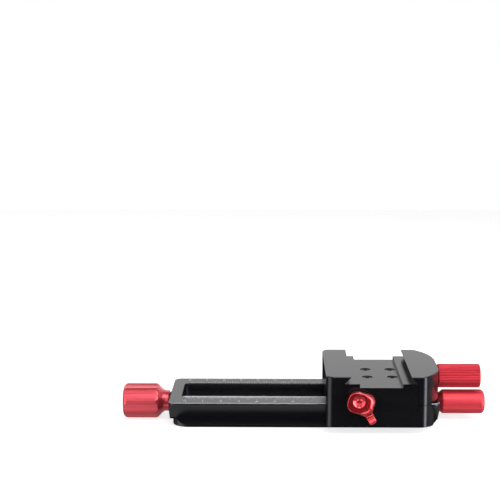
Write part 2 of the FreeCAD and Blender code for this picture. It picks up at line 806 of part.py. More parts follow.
def side_glide_outline(side, low_out, high_out):
    """A slanted strip between two distances from the rail's slanted side."""
    inner = (half_neck + slope_bottom - neck_top)
    run = dim.side_glide_width / SQUARE_ROOT_2
    near_y = inner + low_out * SQUARE_ROOT_2 / 2
    near_z = slope_bottom - low_out * SQUARE_ROOT_2 / 2
    far_y = inner + high_out * SQUARE_ROOT_2 / 2
    far_z = slope_bottom - high_out * SQUARE_ROOT_2 / 2
    return [
        (near_y * side, near_z),
        (far_y * side, far_z),
        ((far_y + run) * side, far_z + run),
        ((near_y + run) * side, near_z + run),
    ]


def nut_screw_places():
    """Where the four cap screws stand."""
    places = []
    for x_side in (FRONT, REAR):
        for y_side in (NEAR, FAR):
            places.append((nut_centre + nut_screw_x * x_side, nut_screw_y * y_side))
    return places


def break_top_edges(body, lip):
    """Bevel the top edges, but not the sharp one over the channel's lip."""
    add_chamfer(
        body,
        lambda edge: lies_in(edge, "Z", dim.carriage_top) and not lies_in(edge, "X", lip),
        dim.edge_break,
    )


def cut_carriage_holes(body):
    """Bores of the carriage: cap screws, clamp screw, guide pins, brake and retainer."""
    shank = dim.nut_screw_diameter / 2 + dim.nut_screw_clearance
    head = dim.nut_head_diameter / 2 + dim.nut_head_clearance
    shanks = new_sketch(body, "nut_screw_holes", "XY_Plane", relief_floor)
    heads = new_sketch(body, "nut_screw_sinks", "XY_Plane", relief_floor)
    for x, y in nut_screw_places():
        draw_circle(shanks, x, y, shank)
        draw_circle(heads, x, y, head)
    add_pocket(body, shanks, relief_floor - dim.rail_height)
    add_pocket(body, heads, relief_floor - nut_seat)

    clamp = new_sketch(body, "clamp_bore", "YZ_Plane", block_face)
    clamp_radius = dim.clamp_screw_diameter / 2 + dim.running_fit
    draw_circle(clamp, ZERO, clamp_height, clamp_radius)
    add_pocket(body, clamp, dim.clamp_thread_depth)

    pins = new_sketch(body, "pin_bores", "YZ_Plane", block_face)
    pin_radius = dim.pin_diameter / 2 + dim.running_fit
    for side in (NEAR, FAR):
        draw_circle(pins, pin_y * side, pin_z, pin_radius)
    add_pocket(body, pins, dim.pin_in_block + dim.jaw_gap)

    shaft = new_sketch(body, "shaft_bore", "XZ_Plane", half_carriage)
    shaft_radius = dim.shaft_diameter / 2 + dim.running_fit
    draw_circle(shaft, lever_x, dim.lever_height, shaft_radius)
    add_pocket(body, shaft, half_carriage - shaft_cam_end + dim.shoe_clearance)
    pilot = new_sketch(body, "pilot_bore", "XZ_Plane", half_carriage)
    pilot_radius = dim.pilot_diameter / 2 + dim.running_fit
    draw_circle(pilot, lever_x, dim.lever_height, pilot_radius)
    add_pocket(body, pilot, half_carriage - shaft_tip + dim.shoe_clearance)

    shoe = new_sketch(body, "shoe_pocket", "XY_Plane", roof)
    half_shoe = dim.shoe_width / 2 + dim.shoe_clearance
    shoe_reach = dim.shoe_length / 2 + dim.shoe_clearance
    draw_outline(shoe, rectangle(
        lever_x - half_shoe, shoe_centre - shoe_reach,
        lever_x + half_shoe, shoe_centre + shoe_reach,
    ))
    add_pocket(body, shoe, shoe_top + dim.glide_gap * 2 - roof, reverse=True)

    retainer = new_sketch(body, "retainer_hole", "YZ_Plane", carriage_left)
    retainer_y = -(half_carriage - dim.shaft_groove_place)
    draw_circle(retainer, retainer_y, dim.lever_height, dim.retainer_diameter / 2)
    add_pocket(body, retainer, lever_x - carriage_left, reverse=True)


def cut_glide_recesses(body):
    """Shallow recesses that hold the four glide strips."""
    tops = new_sketch(body, "top_glide_recesses", "XY_Plane", roof)
    start = glide_centre - dim.glide_length / 2
    end = glide_centre + dim.glide_length / 2
    outer = dim.top_glide_inner + dim.top_glide_width
    draw_outline(tops, rectangle(start, -outer, end, -dim.top_glide_inner))
    draw_outline(tops, rectangle(start, dim.top_glide_inner, end, outer))
    top_depth = top_glide_bottom + dim.glide_thickness - roof
    add_pocket(body, tops, top_depth, reverse=True)

    sides = new_sketch(body, "side_glide_recesses", "YZ_Plane", start)
    for side in (NEAR, FAR):
        draw_outline(sides, side_glide_outline(side, ZERO, dim.glide_gap + dim.glide_thickness))
    add_pocket(body, sides, dim.glide_length, reverse=True)


def build_carriage():
    """The block: tunnel for the rail, cross channel with a fixed jaw, bores."""
    body = new_body("carriage_body")
    plan = new_sketch(body, "plan", "XY_Plane", dim.carriage_bottom)
    outline, bow_start = bowed_plan(carriage_left)
    draw_outline(plan, outline)
    add_pad(body, plan, dim.carriage_top - dim.carriage_bottom)
    add_fillet(
        body,
        lambda edge: any(stands_at(edge, carriage_left, half_carriage * side) for side in (-1, 1)),
        dim.carriage_corner,
        "flat_end_corners",
    )
    add_fillet(
        body,
        lambda edge: any(stands_at(edge, bow_start, half_carriage * side) for side in (-1, 1)),
        dim.bow_corner,
        "bow_corners",
    )
    tunnel = new_sketch(body, "tunnel", "YZ_Plane")
    draw_outline(tunnel, tunnel_outline())
    add_pocket(body, tunnel, (carriage_right + PAST) * 2, symmetric=True)
    channel = new_sketch(body, "channel", "XZ_Plane")
    draw_outline(channel, channel_outline())
    add_pocket(body, channel, dim.carriage_width + PAST, symmetric=True)
    lip = channel_centre - channel_half + channel_run
    break_top_edges(body, lip)
    cut_glide_recesses(body)
    cut_carriage_holes(body)


def build_drive_nut():
    """The long nut: a flange under the roof and a body that runs in the groove."""
    body = new_body("drive_nut")
    section = new_sketch(body, "section", "YZ_Plane", nut_centre)
    half_flange = dim.nut_flange_width / 2
    half_body = dim.nut_body_width / 2
    flange_bottom = roof - dim.nut_flange_thickness
    bottom = groove_floor + dim.nut_floor_gap
    draw_outline(section, [
        (-half_body, bottom),
        (half_body, bottom),
        (half_body, flange_bottom),
        (half_flange, flange_bottom),
        (half_flange, roof),
        (-half_flange, roof),
        (-half_flange, flange_bottom),
        (-half_body, flange_bottom),
    ])
    bore = new_sketch(body, "bore", "YZ_Plane", nut_centre)
    draw_circle(bore, ZERO, dim.screw_height, dim.screw_diameter / 2 + dim.running_fit)
    add_pad(body, section, nut_length, symmetric=True)
    add_pocket(body, bore, nut_length + PAST, symmetric=True)
    holes = new_sketch(body, "holes", "XY_Plane", roof)
    for x, y in nut_screw_places():
        draw_circle(holes, x, y, dim.nut_screw_diameter / 2)
    add_pocket(body, holes, dim.nut_flange_thickness + dim.nut_screw_clearance)


def build_nut_screw(name, x, y):
    """A cap screw with a hexagon socket, from the channel's relief into the nut."""
    shank = dim.nut_screw_diameter / 2
    head = dim.nut_head_diameter / 2
    tip = roof - dim.nut_flange_thickness
    top = nut_seat + dim.nut_head_height
    body = add_turning(name, [
        (ZERO, tip),
        (shank, tip),
        (shank, nut_seat),
        (head, nut_seat),
        (head, top),
        (ZERO, top),
    ], "V_Axis")
    socket = new_sketch(body, "socket", "XY_Plane", top)
    half_flat = dim.nut_socket_width / 2
    half_side = half_flat / math.sqrt(3)
    draw_outline(socket, [
        (half_side, -half_flat),
        (half_side * 2, ZERO),
        (half_side, half_flat),
        (-half_side, half_flat),
        (half_side * -2, ZERO),
        (-half_side, -half_flat),
    ])
    add_pocket(body, socket, dim.nut_socket_depth)
    move_body(body, x=x, y=y)


def build_top_glide(name, side):
    """A strip on which the carriage rides along the top of the rail."""
    body = new_body(name)
    plan = new_sketch(body, "plan", "XY_Plane", top_glide_bottom)
    inner = dim.top_glide_inner * side
    outer = (dim.top_glide_inner + dim.top_glide_width) * side
    start = glide_centre - dim.glide_length / 2
    end = glide_centre + dim.glide_length / 2
    draw_outline(plan, rectangle(start, inner, end, outer))
    add_pad(body, plan, dim.glide_thickness)


def build_side_glide(name, side):
    """A strip that guides the carriage on a slanted side of the rail."""
    body = new_body(name)
    section = new_sketch(body, "section", "YZ_Plane", glide_centre)
    outer = dim.glide_gap + dim.glide_thickness
    draw_outline(section, side_glide_outline(side, dim.glide_gap, outer))
    add_pad(body, section, dim.glide_length, symmetric=True)


def build_retainer():
    """The screw whose tip runs in the brake shaft's groove."""
    groove_radius = dim.shaft_diameter / 2 - dim.shaft_groove_depth
    tip = lever_x - groove_radius - dim.running_fit
    base = (tip, -(half_carriage - dim.shaft_groove_place), dim.lever_height)
    radius = dim.retainer_diameter / 2
    build_cylinder("shaft_retainer", radius, dim.retainer_length, base, (-1, 0, 0))


# Plate clamp

def build_jaw():
    """The movable jaw: bowed like the carriage, with a lip over the channel."""
    body = new_body("clamp_jaw")
    lip = jaw_face - channel_run
    plan = new_sketch(body, "plan", "XY_Plane", dim.jaw_bottom)
    outline, bow_start = bowed_plan(lip)
    draw_outline(plan, outline)
    add_pad(body, plan, dim.carriage_top - dim.jaw_bottom)
    add_fillet(
        body,
        lambda edge: any(stands_at(edge, bow_start, half_carriage * side) for side in (-1, 1)),
        dim.bow_corner,
        "bow_corners",
    )
    under = new_sketch(body, "under_lip", "XZ_Plane")
    draw_outline(under, [
        (lip - PAST, dim.jaw_bottom - PAST),
        (jaw_face, dim.jaw_bottom - PAST),
        (jaw_face, channel_floor),
        (lip, channel_floor + channel_run),
        (lip - PAST, channel_floor + channel_run),
    ])
    add_pocket(body, under, dim.carriage_width + PAST, symmetric=True)
    break_top_edges(body, lip)

    screw = new_sketch(body, "screw_hole", "YZ_Plane", jaw_face)
    screw_radius = dim.clamp_screw_diameter / 2 + dim.end_float
    draw_circle(screw, ZERO, clamp_height, screw_radius)
    add_pocket(body, screw, carriage_right - jaw_face + PAST, reverse=True)
    ring = new_sketch(body, "ring_recess", "YZ_Plane", jaw_face)
    ring_radius = dim.clamp_ring_diameter / 2 + dim.clamp_ring_clearance
    draw_circle(ring, ZERO, clamp_height, ring_radius)
    recess = dim.clamp_ring_sink + dim.clamp_ring_thickness + dim.end_float
    add_pocket(body, ring, recess, reverse=True)
    pins = new_sketch(body, "pin_holes", "YZ_Plane", jaw_face)
    for side in (NEAR, FAR):
        draw_circle(pins, pin_y * side, pin_z, dim.pin_diameter / 2)
    add_pocket(body, pins, dim.pin_in_jaw, reverse=True)


def build_jaw_pin(name, side):
    """A guide pin, pressed into the jaw and sliding in the carriage."""
    base = (jaw_face + dim.pin_in_jaw, pin_y * side, pin_z)
    length = dim.pin_in_jaw + dim.pin_in_block
    build_cylinder(name, dim.pin_diameter / 2, length, base, (-1, 0, 0))


def build_clamp_screw():
    """The clamp screw, with its ring, its washer and its knob."""
    radius = dim.clamp_screw_diameter / 2
    end = clamp_knob_face + dim.clamp_screw_in_knob
    base = (clamp_tip, ZERO, clamp_height)
    build_cylinder("clamp_screw", radius, end - clamp_tip, base, (1, 0, 0))

    ring_start = jaw_face + dim.clamp_ring_sink
    ring_end = ring_start + dim.clamp_ring_thickness
    ring = ring_profile(ring_start, ring_end, radius, dim.clamp_ring_diameter / 2)
    move_body(add_turning("clamp_ring", ring), z=clamp_height)

    washer_radius = dim.clamp_washer_diameter / 2
    washer = ring_profile(clamp_washer_face, clamp_knob_face, radius, washer_radius)
    move_body(add_turning("clamp_washer", washer), z=clamp_height)

    grip = dim.clamp_knob_diameter / 2
    knob_end = clamp_knob_face + dim.clamp_knob_length
    bevel = dim.clamp_knob_bevel
    knob = add_turning("clamp_knob", [
        (clamp_knob_face, radius),
        (end, radius),
        (end, ZERO),
        (knob_end, ZERO),
        (knob_end, grip - bevel),
        (knob_end - bevel, grip),
        (clamp_knob_face + bevel, grip),
        (clamp_knob_face, grip - bevel),
    ])
    move_body(knob, z=clamp_height)


# Brake

def build_shaft():
    """The brake shaft: journal with a groove, eccentric, pilot."""
    body = new_body("lock_shaft")
    face = -half_carriage
    outer_end = half_carriage + dim.lever_gap + dim.shaft_in_lever
    journal = new_sketch(body, "journal", "XZ_Plane", shaft_shoulder)
    draw_circle(journal, ZERO, ZERO, dim.shaft_diameter / 2)
    add_pad(body, journal, outer_end - shaft_shoulder)
    cam = new_sketch(body, "cam", "XZ_Plane", shaft_cam_end)
    across = dim.cam_throw * math.cos(math.radians(dim.cam_turn.value))
    draw_circle(cam, across, -cam_drop, dim.cam_diameter / 2)
    add_pad(body, cam, cam_length)
    pilot = new_sketch(body, "pilot", "XZ_Plane", shaft_tip)
    draw_circle(pilot, ZERO, ZERO, dim.pilot_diameter / 2)
    add_pad(body, pilot, dim.pilot_length)
    groove = new_sketch(body, "groove", "YZ_Plane")
    centre = face + dim.shaft_groove_place
    half_width = dim.shaft_groove_width / 2
    radius = dim.shaft_diameter / 2
    draw_outline(groove, rectangle(
        centre - half_width, radius - dim.shaft_groove_depth,
        centre + half_width, radius + PAST,
    ))
    cut = body.newObject("PartDesign::Groove", "lock_shaft_groove_cut")
    cut.Profile = groove
    cut.ReferenceAxis = (groove, ["H_Axis"])
    cut.Angle = 360
    move_body(body, x=lever_x, z=dim.lever_height)


def build_lever():
    """The brake lever: a rounded head with a dished boss, and a tail with a toe.

    It is drawn with the tail along +X and its back at the hub, then turned.
    """
    body = new_body("lock_lever")
    hub = new_sketch(body, "hub", "XZ_Plane")
    draw_circle(hub, ZERO, ZERO, dim.hub_diameter / 2)
    add_pad(body, hub, dim.hub_thickness)

    head = new_sketch(body, "head", "XZ_Plane", dim.hub_thickness)
    half_long = dim.head_long / 2
    half_short = dim.head_short / 2
    draw_outline(head, rectangle(-half_long, -half_short, half_long, half_short))
    skew = FreeCAD.Rotation(FreeCAD.Vector(0, 0, 1), dim.head_skew.value)
    head.AttachmentOffset = FreeCAD.Placement(
        FreeCAD.Vector(dim.head_offset.value, 0, dim.hub_thickness.value), skew
    )
    bind(head, "AttachmentOffset.Base.x", dim.head_offset)
    bind(head, "AttachmentOffset.Rotation.Angle", dim.head_skew)
    add_pad(body, head, dim.head_thickness)
    add_fillet(
        body,
        lambda edge: runs_along_y(edge) and edge.Length > dim.head_thickness.value * 0.99,
        dim.head_corner,
        "head_corners",
    )
    front = -(dim.hub_thickness + dim.head_thickness)
    add_chamfer(body, lambda edge: lies_in(edge, "Y", front), dim.head_bevel)

    tail = new_sketch(body, "tail", "XY_Plane")
    back = -dim.hub_thickness
    tail_front = back - dim.tail_thickness
    toe_start = dim.tail_reach - dim.tail_toe_length
    draw_outline(tail, [
        (dim.head_offset, back),
        (dim.head_offset, tail_front),
        (toe_start, tail_front),
        (toe_start + dim.tail_toe / 2, tail_front - dim.tail_toe),
        (dim.tail_reach - dim.tail_toe / 2, tail_front - dim.tail_toe),
        (dim.tail_reach, tail_front),
        (dim.tail_reach, back),
    ])
    add_pad(body, tail, dim.tail_width, symmetric=True)

    boss = new_sketch(body, "boss", "XZ_Plane", dim.hub_thickness)
    draw_circle(boss, ZERO, ZERO, dim.boss_diameter / 2)
    add_pad(body, boss, dim.head_thickness + dim.boss_height)

    dish = new_sketch(body, "dish", "XY_Plane")
    boss_front = -(dim.hub_thickness + dim.head_thickness + dim.boss_height)
    dish_half = dim.dish_diameter / 2
    draw_outline(dish, [
        (ZERO, boss_front - PAST),
        (ZERO, boss_front + dim.dish_depth),
        (dish_half / 2, boss_front + dim.dish_depth / 2),
        (dish_half, boss_front),
        (dish_half, boss_front - PAST),
    ])
    cut = body.newObject("PartDesign::Groove", "lock_lever_dish_cut")
    cut.Profile = dish
    cut.ReferenceAxis = (dish, ["V_Axis"])
    cut.Angle = 360

    socket = new_sketch(body, "socket", "XZ_Plane")
    draw_circle(socket, ZERO, ZERO, dim.shaft_diameter / 2)
    add_pocket(body, socket, dim.shaft_in_lever, reverse=True)

    screw = new_sketch(body, "screw_hole", "YZ_Plane")
    screw_y = -(dim.hub_thickness + dim.lever_screw_place)
    draw_circle(screw, screw_y, ZERO, dim.lever_screw_diameter / 2)
    add_pocket(body, screw, dim.head_long)

    turn = FreeCAD.Rotation(FreeCAD.Vector(0, 1, 0), dim.tail_angle.value)
    body.Placement = FreeCAD.Placement(FreeCAD.Vector(0, 0, 0), turn)
    bind(body, "Placement.Rotation.Angle", dim.tail_angle)
    move_body(body, x=lever_x, y=-half_carriage - dim.lever_gap, z=dim.lever_height)


def build_lever_screw():
    """The grub screw that presses the lever onto its shaft, opposite the tail."""
    angle = math.radians(dim.tail_angle.value)
    outward = (-math.cos(angle), 0, math.sin(angle))
    radius = dim.shaft_diameter / 2
    base = (
        lever_x + radius * outward[0],
        -half_carriage - dim.lever_gap - dim.hub_thickness - dim.lever_screw_place,
        dim.lever_height + radius * outward[2],
    )
    build_cylinder(
        "lever_screw", dim.lever_screw_diameter / 2, dim.lever_screw_length, base, outward
    )


def build_shoe():
    """The brake shoe: a small block between the eccentric and the rail's top."""
    shoe = doc.addObject("Part::Box", "brake_shoe")
    shoe.Label = "brake_shoe"
    bind(shoe, "Length", dim.shoe_width)
    bind(shoe, "Width", dim.shoe_length)
    bind(shoe, "Height", shoe_top - shoe_bottom)
    bind(shoe, "Placement.Base.x", lever_x - dim.shoe_width / 2)
    bind(shoe, "Placement.Base.y", shoe_centre - dim.shoe_length / 2)
    bind(shoe, "Placement.Base.z", shoe_bottom)


def build_all():
    """Build every sub-part."""
    build_rail()
    for name, side in (("front", FRONT), ("rear", REAR)):
        build_bush(f"bush_{name}", side)
        build_thrust_washer(f"{name}_washer", side)
    build_lead_screw()
    build_front_knob()
    build_knob_screw("front_knob_screw", FRONT, dim.front_knob_screw_length)
    build_rear_knob()
    build_knob_screw("rear_knob_screw", REAR, dim.rear_knob_screw_length)
    build_carriage()
    build_drive_nut()
    for number, (x, y) in enumerate(nut_screw_places(), start=1):
        build_nut_screw(f"nut_screw_{number}", x, y)
    for name, side in (("near", NEAR), ("far", FAR)):
        build_top_glide(f"top_glide_{name}", side)
        build_side_glide(f"side_glide_{name}", side)
        build_jaw_pin(f"jaw_pin_{name}", side)
    build_retainer()
    build_jaw()
    build_clamp_screw()
    build_shaft()
    build_lever()
    build_lever_screw()
    build_shoe()
    doc.recompute()


def sub_parts():
    """The objects that are written out: bodies and free-standing primitives."""
    kinds = ("PartDesign::Body", "Part::Cylinder", "Part::Box")
    return [item for item in doc.Objects if item.TypeId in kinds]


def check_document():
    """Stop if any object failed or any sub-part has no valid solid."""
    for item in doc.Objects:
        if "Invalid" in item.State or "Error" in item.State:
            raise ValueError(f"{item.Label} failed: {item.State}")
    for item in sub_parts():
        if item.Shape.isNull() or not item.Shape.isValid() or len(item.Shape.Solids) != 1:
            raise ValueError(f"{item.Label} is not one valid solid")


def write_parts():
    """Write one STEP file for each sub-part."""
    os.makedirs(OUTPUT_FOLDER, exist_ok=True)
    for item in sub_parts():
        item.Shape.exportStep(os.path.join(OUTPUT_FOLDER, f"{item.Label}.step"))
        print(f"{item.Label}: {item.Shape.Volume:.1f} mm3")


build_all()
check_document()
write_parts()
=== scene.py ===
"""Looks of a macro focusing rail: finishes, threads, knobs, lever, engraved scale, studio.

Sizes and places of the object are in millimetres in its own frame, and MM turns them into metres.
"""

import logging  # noqa: E402
import math  # noqa: E402
from dataclasses import dataclass, field  # noqa: E402
from enum import Enum  # noqa: E402
from typing import Any, Callable, Iterable, Optional, Sequence  # noqa: E402

import bmesh  # noqa: E402
import bpy  # noqa: E402
import numpy as np  # noqa: E402
from bmesh.types import BMesh, BMVert  # noqa: E402
from bpy.types import Material, Mesh, NodeSocket as Socket, Object  # noqa: E402
from mathutils import Matrix, Vector  # noqa: E402
from numpy import ndarray as Array  # noqa: E402


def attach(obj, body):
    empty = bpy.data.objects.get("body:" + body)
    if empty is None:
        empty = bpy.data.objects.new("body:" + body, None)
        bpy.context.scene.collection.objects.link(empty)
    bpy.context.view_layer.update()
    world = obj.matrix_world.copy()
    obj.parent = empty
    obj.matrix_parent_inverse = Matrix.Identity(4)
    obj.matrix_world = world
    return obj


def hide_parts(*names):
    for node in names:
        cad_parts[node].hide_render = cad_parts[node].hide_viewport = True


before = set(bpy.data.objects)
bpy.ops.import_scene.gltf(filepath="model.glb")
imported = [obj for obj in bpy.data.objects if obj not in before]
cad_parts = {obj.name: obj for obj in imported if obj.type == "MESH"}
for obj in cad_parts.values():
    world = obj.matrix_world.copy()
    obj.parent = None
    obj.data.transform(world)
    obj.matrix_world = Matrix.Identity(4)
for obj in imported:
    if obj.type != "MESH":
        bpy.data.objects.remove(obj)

logging.basicConfig(level=logging.INFO, format="%(name)s: %(message)s")
log = logging.getLogger("focusing_rail")

MM = 0.001
SAME_PLACE = 1e-7  # points this near, in metres, are one
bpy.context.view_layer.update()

Pair = tuple[float, float]
Triple = tuple[float, float, float]
Profile = list[Pair]

# The rail's top chamfers, which get a painted highlight, each as a middle and a reach: how far a
# face leans up, and its height and distance from the rail's middle in metres.
CHAMFER_LEAN = (math.sqrt(0.5), 0.06)
CHAMFER_HEIGHT = (0.0155, 0.0007)
CHAMFER_ACROSS = (0.0265, 0.004)

# The nodes and outputs that give the object's own coordinates and where a face looks.
OWN_PLACE = ("ShaderNodeTexCoord", "Object")
FACE_LEAN = ("ShaderNodeNewGeometry", "True Normal")

# The part of a noise's values that spread() uses, and how many layers streaks and grain have.
NOISE_RANGE = (0.3, 0.7)
STREAK_DETAIL = 3.0
GRAIN_DETAIL = 4.0

# Scales of drawn and turned surfaces, in waves per metre.
LONG_GRAIN = (60.0, 3200.0, 3200.0)
LONG_STREAKS = (20.0, 1100.0, 1100.0)

# Shading: edges that turn more than this many degrees stay crisp.
FLAT_EDGE = 24.0
SMALL_EDGE = 32.0
KNOB_EDGE = 40.0
THREAD_EDGE = 50.0
NO_EDGE = 180.0


class Side(Enum):
    """The two ends of the rail."""

    FRONT = -1
    REAR = 1


class Axis(Enum):
    """Which way a thread runs."""

    ALONG = "along X"
    UPRIGHT = "along Z"


class PaintedHighlight(Enum):
    """Where a finish gets a painted highlight: lighter colour on edges that mirror light."""

    NONE = "none"
    TOP_CHAMFERS = "top chamfers"


class Grain(Enum):
    """Where a finish is grained."""

    ALL_OVER = "all over"
    ALONG_X = "on faces that run along X"


# Node trees


class NodeTree:
    """A node tree with short calls for its nodes."""

    def __init__(self, tree: bpy.types.NodeTree) -> None:
        """Start with an empty tree.

        Args:
            tree: where the nodes go.
        """
        self.tree = tree
        self.tree.nodes.clear()

    def feed(self, socket: Socket, value: object) -> None:
        """Set an input.

        Args:
            socket: the input.
            value: a plain value, a socket to link, or a list of them.
        """
        if isinstance(value, list):
            for source in value:
                self.feed(socket, source)
        elif isinstance(value, Socket):
            self.tree.links.new(value, socket)
        else:
            socket.default_value = value

    def add(
        self, kind: str, output: Optional[str] = None, inputs: Optional[dict] = None,
        **settings: object,
    ) -> Any:
        """Add a node.

        Args:
            kind: its type.
            output: the output asked for, or None for all.
            inputs: values of inputs, by name or number.
            settings: its properties.

        Returns:
            That output, or all outputs.
        """
        node = self.tree.nodes.new(kind)
        for key, value in settings.items():
            setattr(node, key, value)
        for key, value in (inputs or {}).items():
            self.feed(node.inputs[key], value)
        return node.outputs if output is None else node.outputs[output]

    def math(self, operation: str, *terms: object) -> Socket:
        """Add a math node.

        Args:
            operation: what it does.
            terms: numbers or sockets.

        Returns:
            Its result.
        """
        return self.add("ShaderNodeMath", "Value", dict(enumerate(terms)), operation=operation)

    def vector(self, *parts: object) -> Socket:
        """Join three numbers or sockets.

        Args:
            parts: X, Y and Z.

        Returns:
            The vector.
        """
        return self.add("ShaderNodeCombineXYZ", "Vector", dict(enumerate(parts)))


class NodeSheet(NodeTree):
    """The node tree of a material."""

    def __init__(self, name: str) -> None:
        """Start an empty material.

        Args:
            name: its name.
        """
        self.material = bpy.data.materials.new(name)
        self.material.use_nodes = True
        super().__init__(self.material.node_tree)

    def finish(self, surface: Socket) -> Material:
        """End the tree.

        Args:
            surface: its shader.

        Returns:
            The material.
        """
        self.add("ShaderNodeOutputMaterial", None, {"Surface": surface})
        return self.material

    def part(self, axis: str, kind: str, output: str) -> Socket:
        """Take a number out of a vector.

        Args:
            axis: X, Y or Z.
            kind: the node that gives the vector.
            output: its output.

        Returns:
            The number.
        """
        return self.add("ShaderNodeSeparateXYZ", axis, {"Vector": self.add(kind, output)})

    def noise(self, scale: Triple, detail: float) -> Socket:
        """Make noise on the object's own coordinates.

        Args:
            scale: waves per metre along X, Y and Z.
            detail: number of finer layers.

        Returns:
            The noise, about 0.5 on average.
        """
        place = {"Vector": self.add(*OWN_PLACE), "Scale": scale}
        scaled = self.add("ShaderNodeMapping", "Vector", place)
        inputs = {"Vector": scaled, "Scale": 1.0, "Detail": detail}
        return self.add("ShaderNodeTexNoise", "Fac", inputs)

    def spread(self, value: Socket, low: float, high: float) -> Socket:
        """Map NOISE_RANGE to another range.

        Args:
            value: the noise.
            low: lower end.
            high: upper end.

        Returns:
            The mapped value.
        """
        ends = dict(zip(("From Min", "From Max", "To Min", "To Max"), (*NOISE_RANGE, low, high)))
        return self.add("ShaderNodeMapRange", "Result", {"Value": value, **ends}, clamp=True)

    def mix(self, amount: Socket, first: object, second: object) -> Socket:
        """Blend two colours.

        Args:
            amount: 0 gives the first and 1 the second.
            first: a socket, or linear red, green and blue.
            second: the same.

        Returns:
            The blend.
        """
        inputs = {"Factor": amount}
        for key, colour in (("A", first), ("B", second)):
            inputs[key] = colour if isinstance(colour, Socket) else (*colour, 1.0)
        return self.add("ShaderNodeMix", "Result", inputs, data_type="RGBA")

    def chamfer_mask(self) -> Socket:
        """Find the chamfers on the rail's long top edges, which get a painted highlight.

        Returns:
            1 on them and 0 elsewhere.
        """
        height = self.math("COMPARE", self.part("Z", *OWN_PLACE), *CHAMFER_HEIGHT)
        aside = self.math("ABSOLUTE", self.part("Y", *OWN_PLACE))
        result = self.math("COMPARE", self.part("Z", *FACE_LEAN), *CHAMFER_LEAN)
        for mask in (height, self.math("COMPARE", aside, *CHAMFER_ACROSS)):
            result = self.math("MULTIPLY", result, mask)
        return result


# Finishes


@dataclass(frozen=True)
class Finish:
    """A surface: colour, gloss, grain and how it varies.

    Scales are in waves per metre along X, Y and Z, and the grain's depth is in metres.
    """

    name: str
    colour: Triple
    second_colour: Triple
    metallic: float
    roughness: Pair
    specular: float = 0.5
    sheen_tint: Triple = (1.0, 1.0, 1.0)
    grain: Triple = (2600.0, 2600.0, 2600.0)
    grain_depth: float = 0.0
    grained: Grain = Grain.ALL_OVER
    streaks: Triple = (400.0, 400.0, 400.0)
    coat: float = 0.0
    coat_roughness: float = 0.2
    # a painted highlight on edges, and its colour
    painted_highlight: PaintedHighlight = PaintedHighlight.NONE
    highlight_colour: Triple = (0.27, 0.27, 0.31)
    end_lean: float = 0.2

    def build(self) -> Material:
        """Make the node material.

        Returns:
            The material.
        """
        sheet = NodeSheet(self.name)
        streaks = sheet.spread(sheet.noise(self.streaks, STREAK_DETAIL), 0.0, 1.0)
        colour = sheet.mix(streaks, self.colour, self.second_colour)
        # painted highlight: the top chamfers get a lighter colour that stands in for the light
        # they mirror
        if self.painted_highlight is PaintedHighlight.TOP_CHAMFERS:
            colour = sheet.mix(sheet.chamfer_mask(), colour, self.highlight_colour)
        grain = sheet.noise(self.grain, GRAIN_DETAIL)
        inputs = {
            "Base Color": colour,
            "Metallic": self.metallic,
            "Roughness": sheet.spread(grain, *self.roughness),
            "Specular IOR Level": self.specular,
            "Specular Tint": (*self.sheen_tint, 1.0),
            "Coat Weight": self.coat,
            "Coat Roughness": self.coat_roughness,
        }
        if self.grain_depth:
            if self.grained is Grain.ALONG_X:
                flank = sheet.math("COMPARE", sheet.part("X", *FACE_LEAN), 0.0, self.end_lean)
                grain = sheet.math("MULTIPLY", grain, flank)
            relief = {"Strength": 1.0, "Distance": self.grain_depth, "Height": grain}
            inputs["Normal"] = sheet.add("ShaderNodeBump", "Normal", relief)
        return sheet.finish(sheet.add("ShaderNodeBsdfPrincipled", "BSDF", inputs))


class StudioRole(Enum):
    """What a studio surface is for."""

    FLOOR = "seen white and keeps shadows, but clear to mirrored rays and to lamps"
    GLOW = "seen white and mirrored white, but lights nothing"
    FLAG = "black for the near faces to mirror"


@dataclass(frozen=True)
class StudioSurface:
    """A plain floor or card. The floor acts as if the object stood on glass over it."""

    name: str
    role: StudioRole
    glow: float = 1.0
    grey: float = 0.0

    def build(self) -> Material:
        """Make the node material.

        Returns:
            The material.
        """
        sheet = NodeSheet(self.name)
        colour = {"Color": (self.grey, self.grey, self.grey, 1.0)}
        paint = sheet.add("ShaderNodeBsdfDiffuse", "BSDF", colour)
        if self.role is StudioRole.FLAG:
            return sheet.finish(paint)
        ray = sheet.add("ShaderNodeLightPath")
        seen = ray["Is Camera Ray"]
        if self.role is StudioRole.GLOW:
            seen = sheet.math("MAXIMUM", seen, ray["Is Glossy Ray"])
        strength = {"Strength": sheet.math("MULTIPLY", seen, self.glow)}
        glow = sheet.add("ShaderNodeEmission", "Emission", strength)
        if self.role is StudioRole.GLOW:
            return sheet.finish(glow)
        both = sheet.add("ShaderNodeAddShader", "Shader", {0: paint, 1: glow})
        clear = sheet.math("MAXIMUM", ray["Is Glossy Ray"], ray["Is Shadow Ray"])
        choice = {0: clear, 1: both, 2: sheet.add("ShaderNodeBsdfTransparent", "BSDF")}
        return sheet.finish(sheet.add("ShaderNodeMixShader", "Shader", choice))


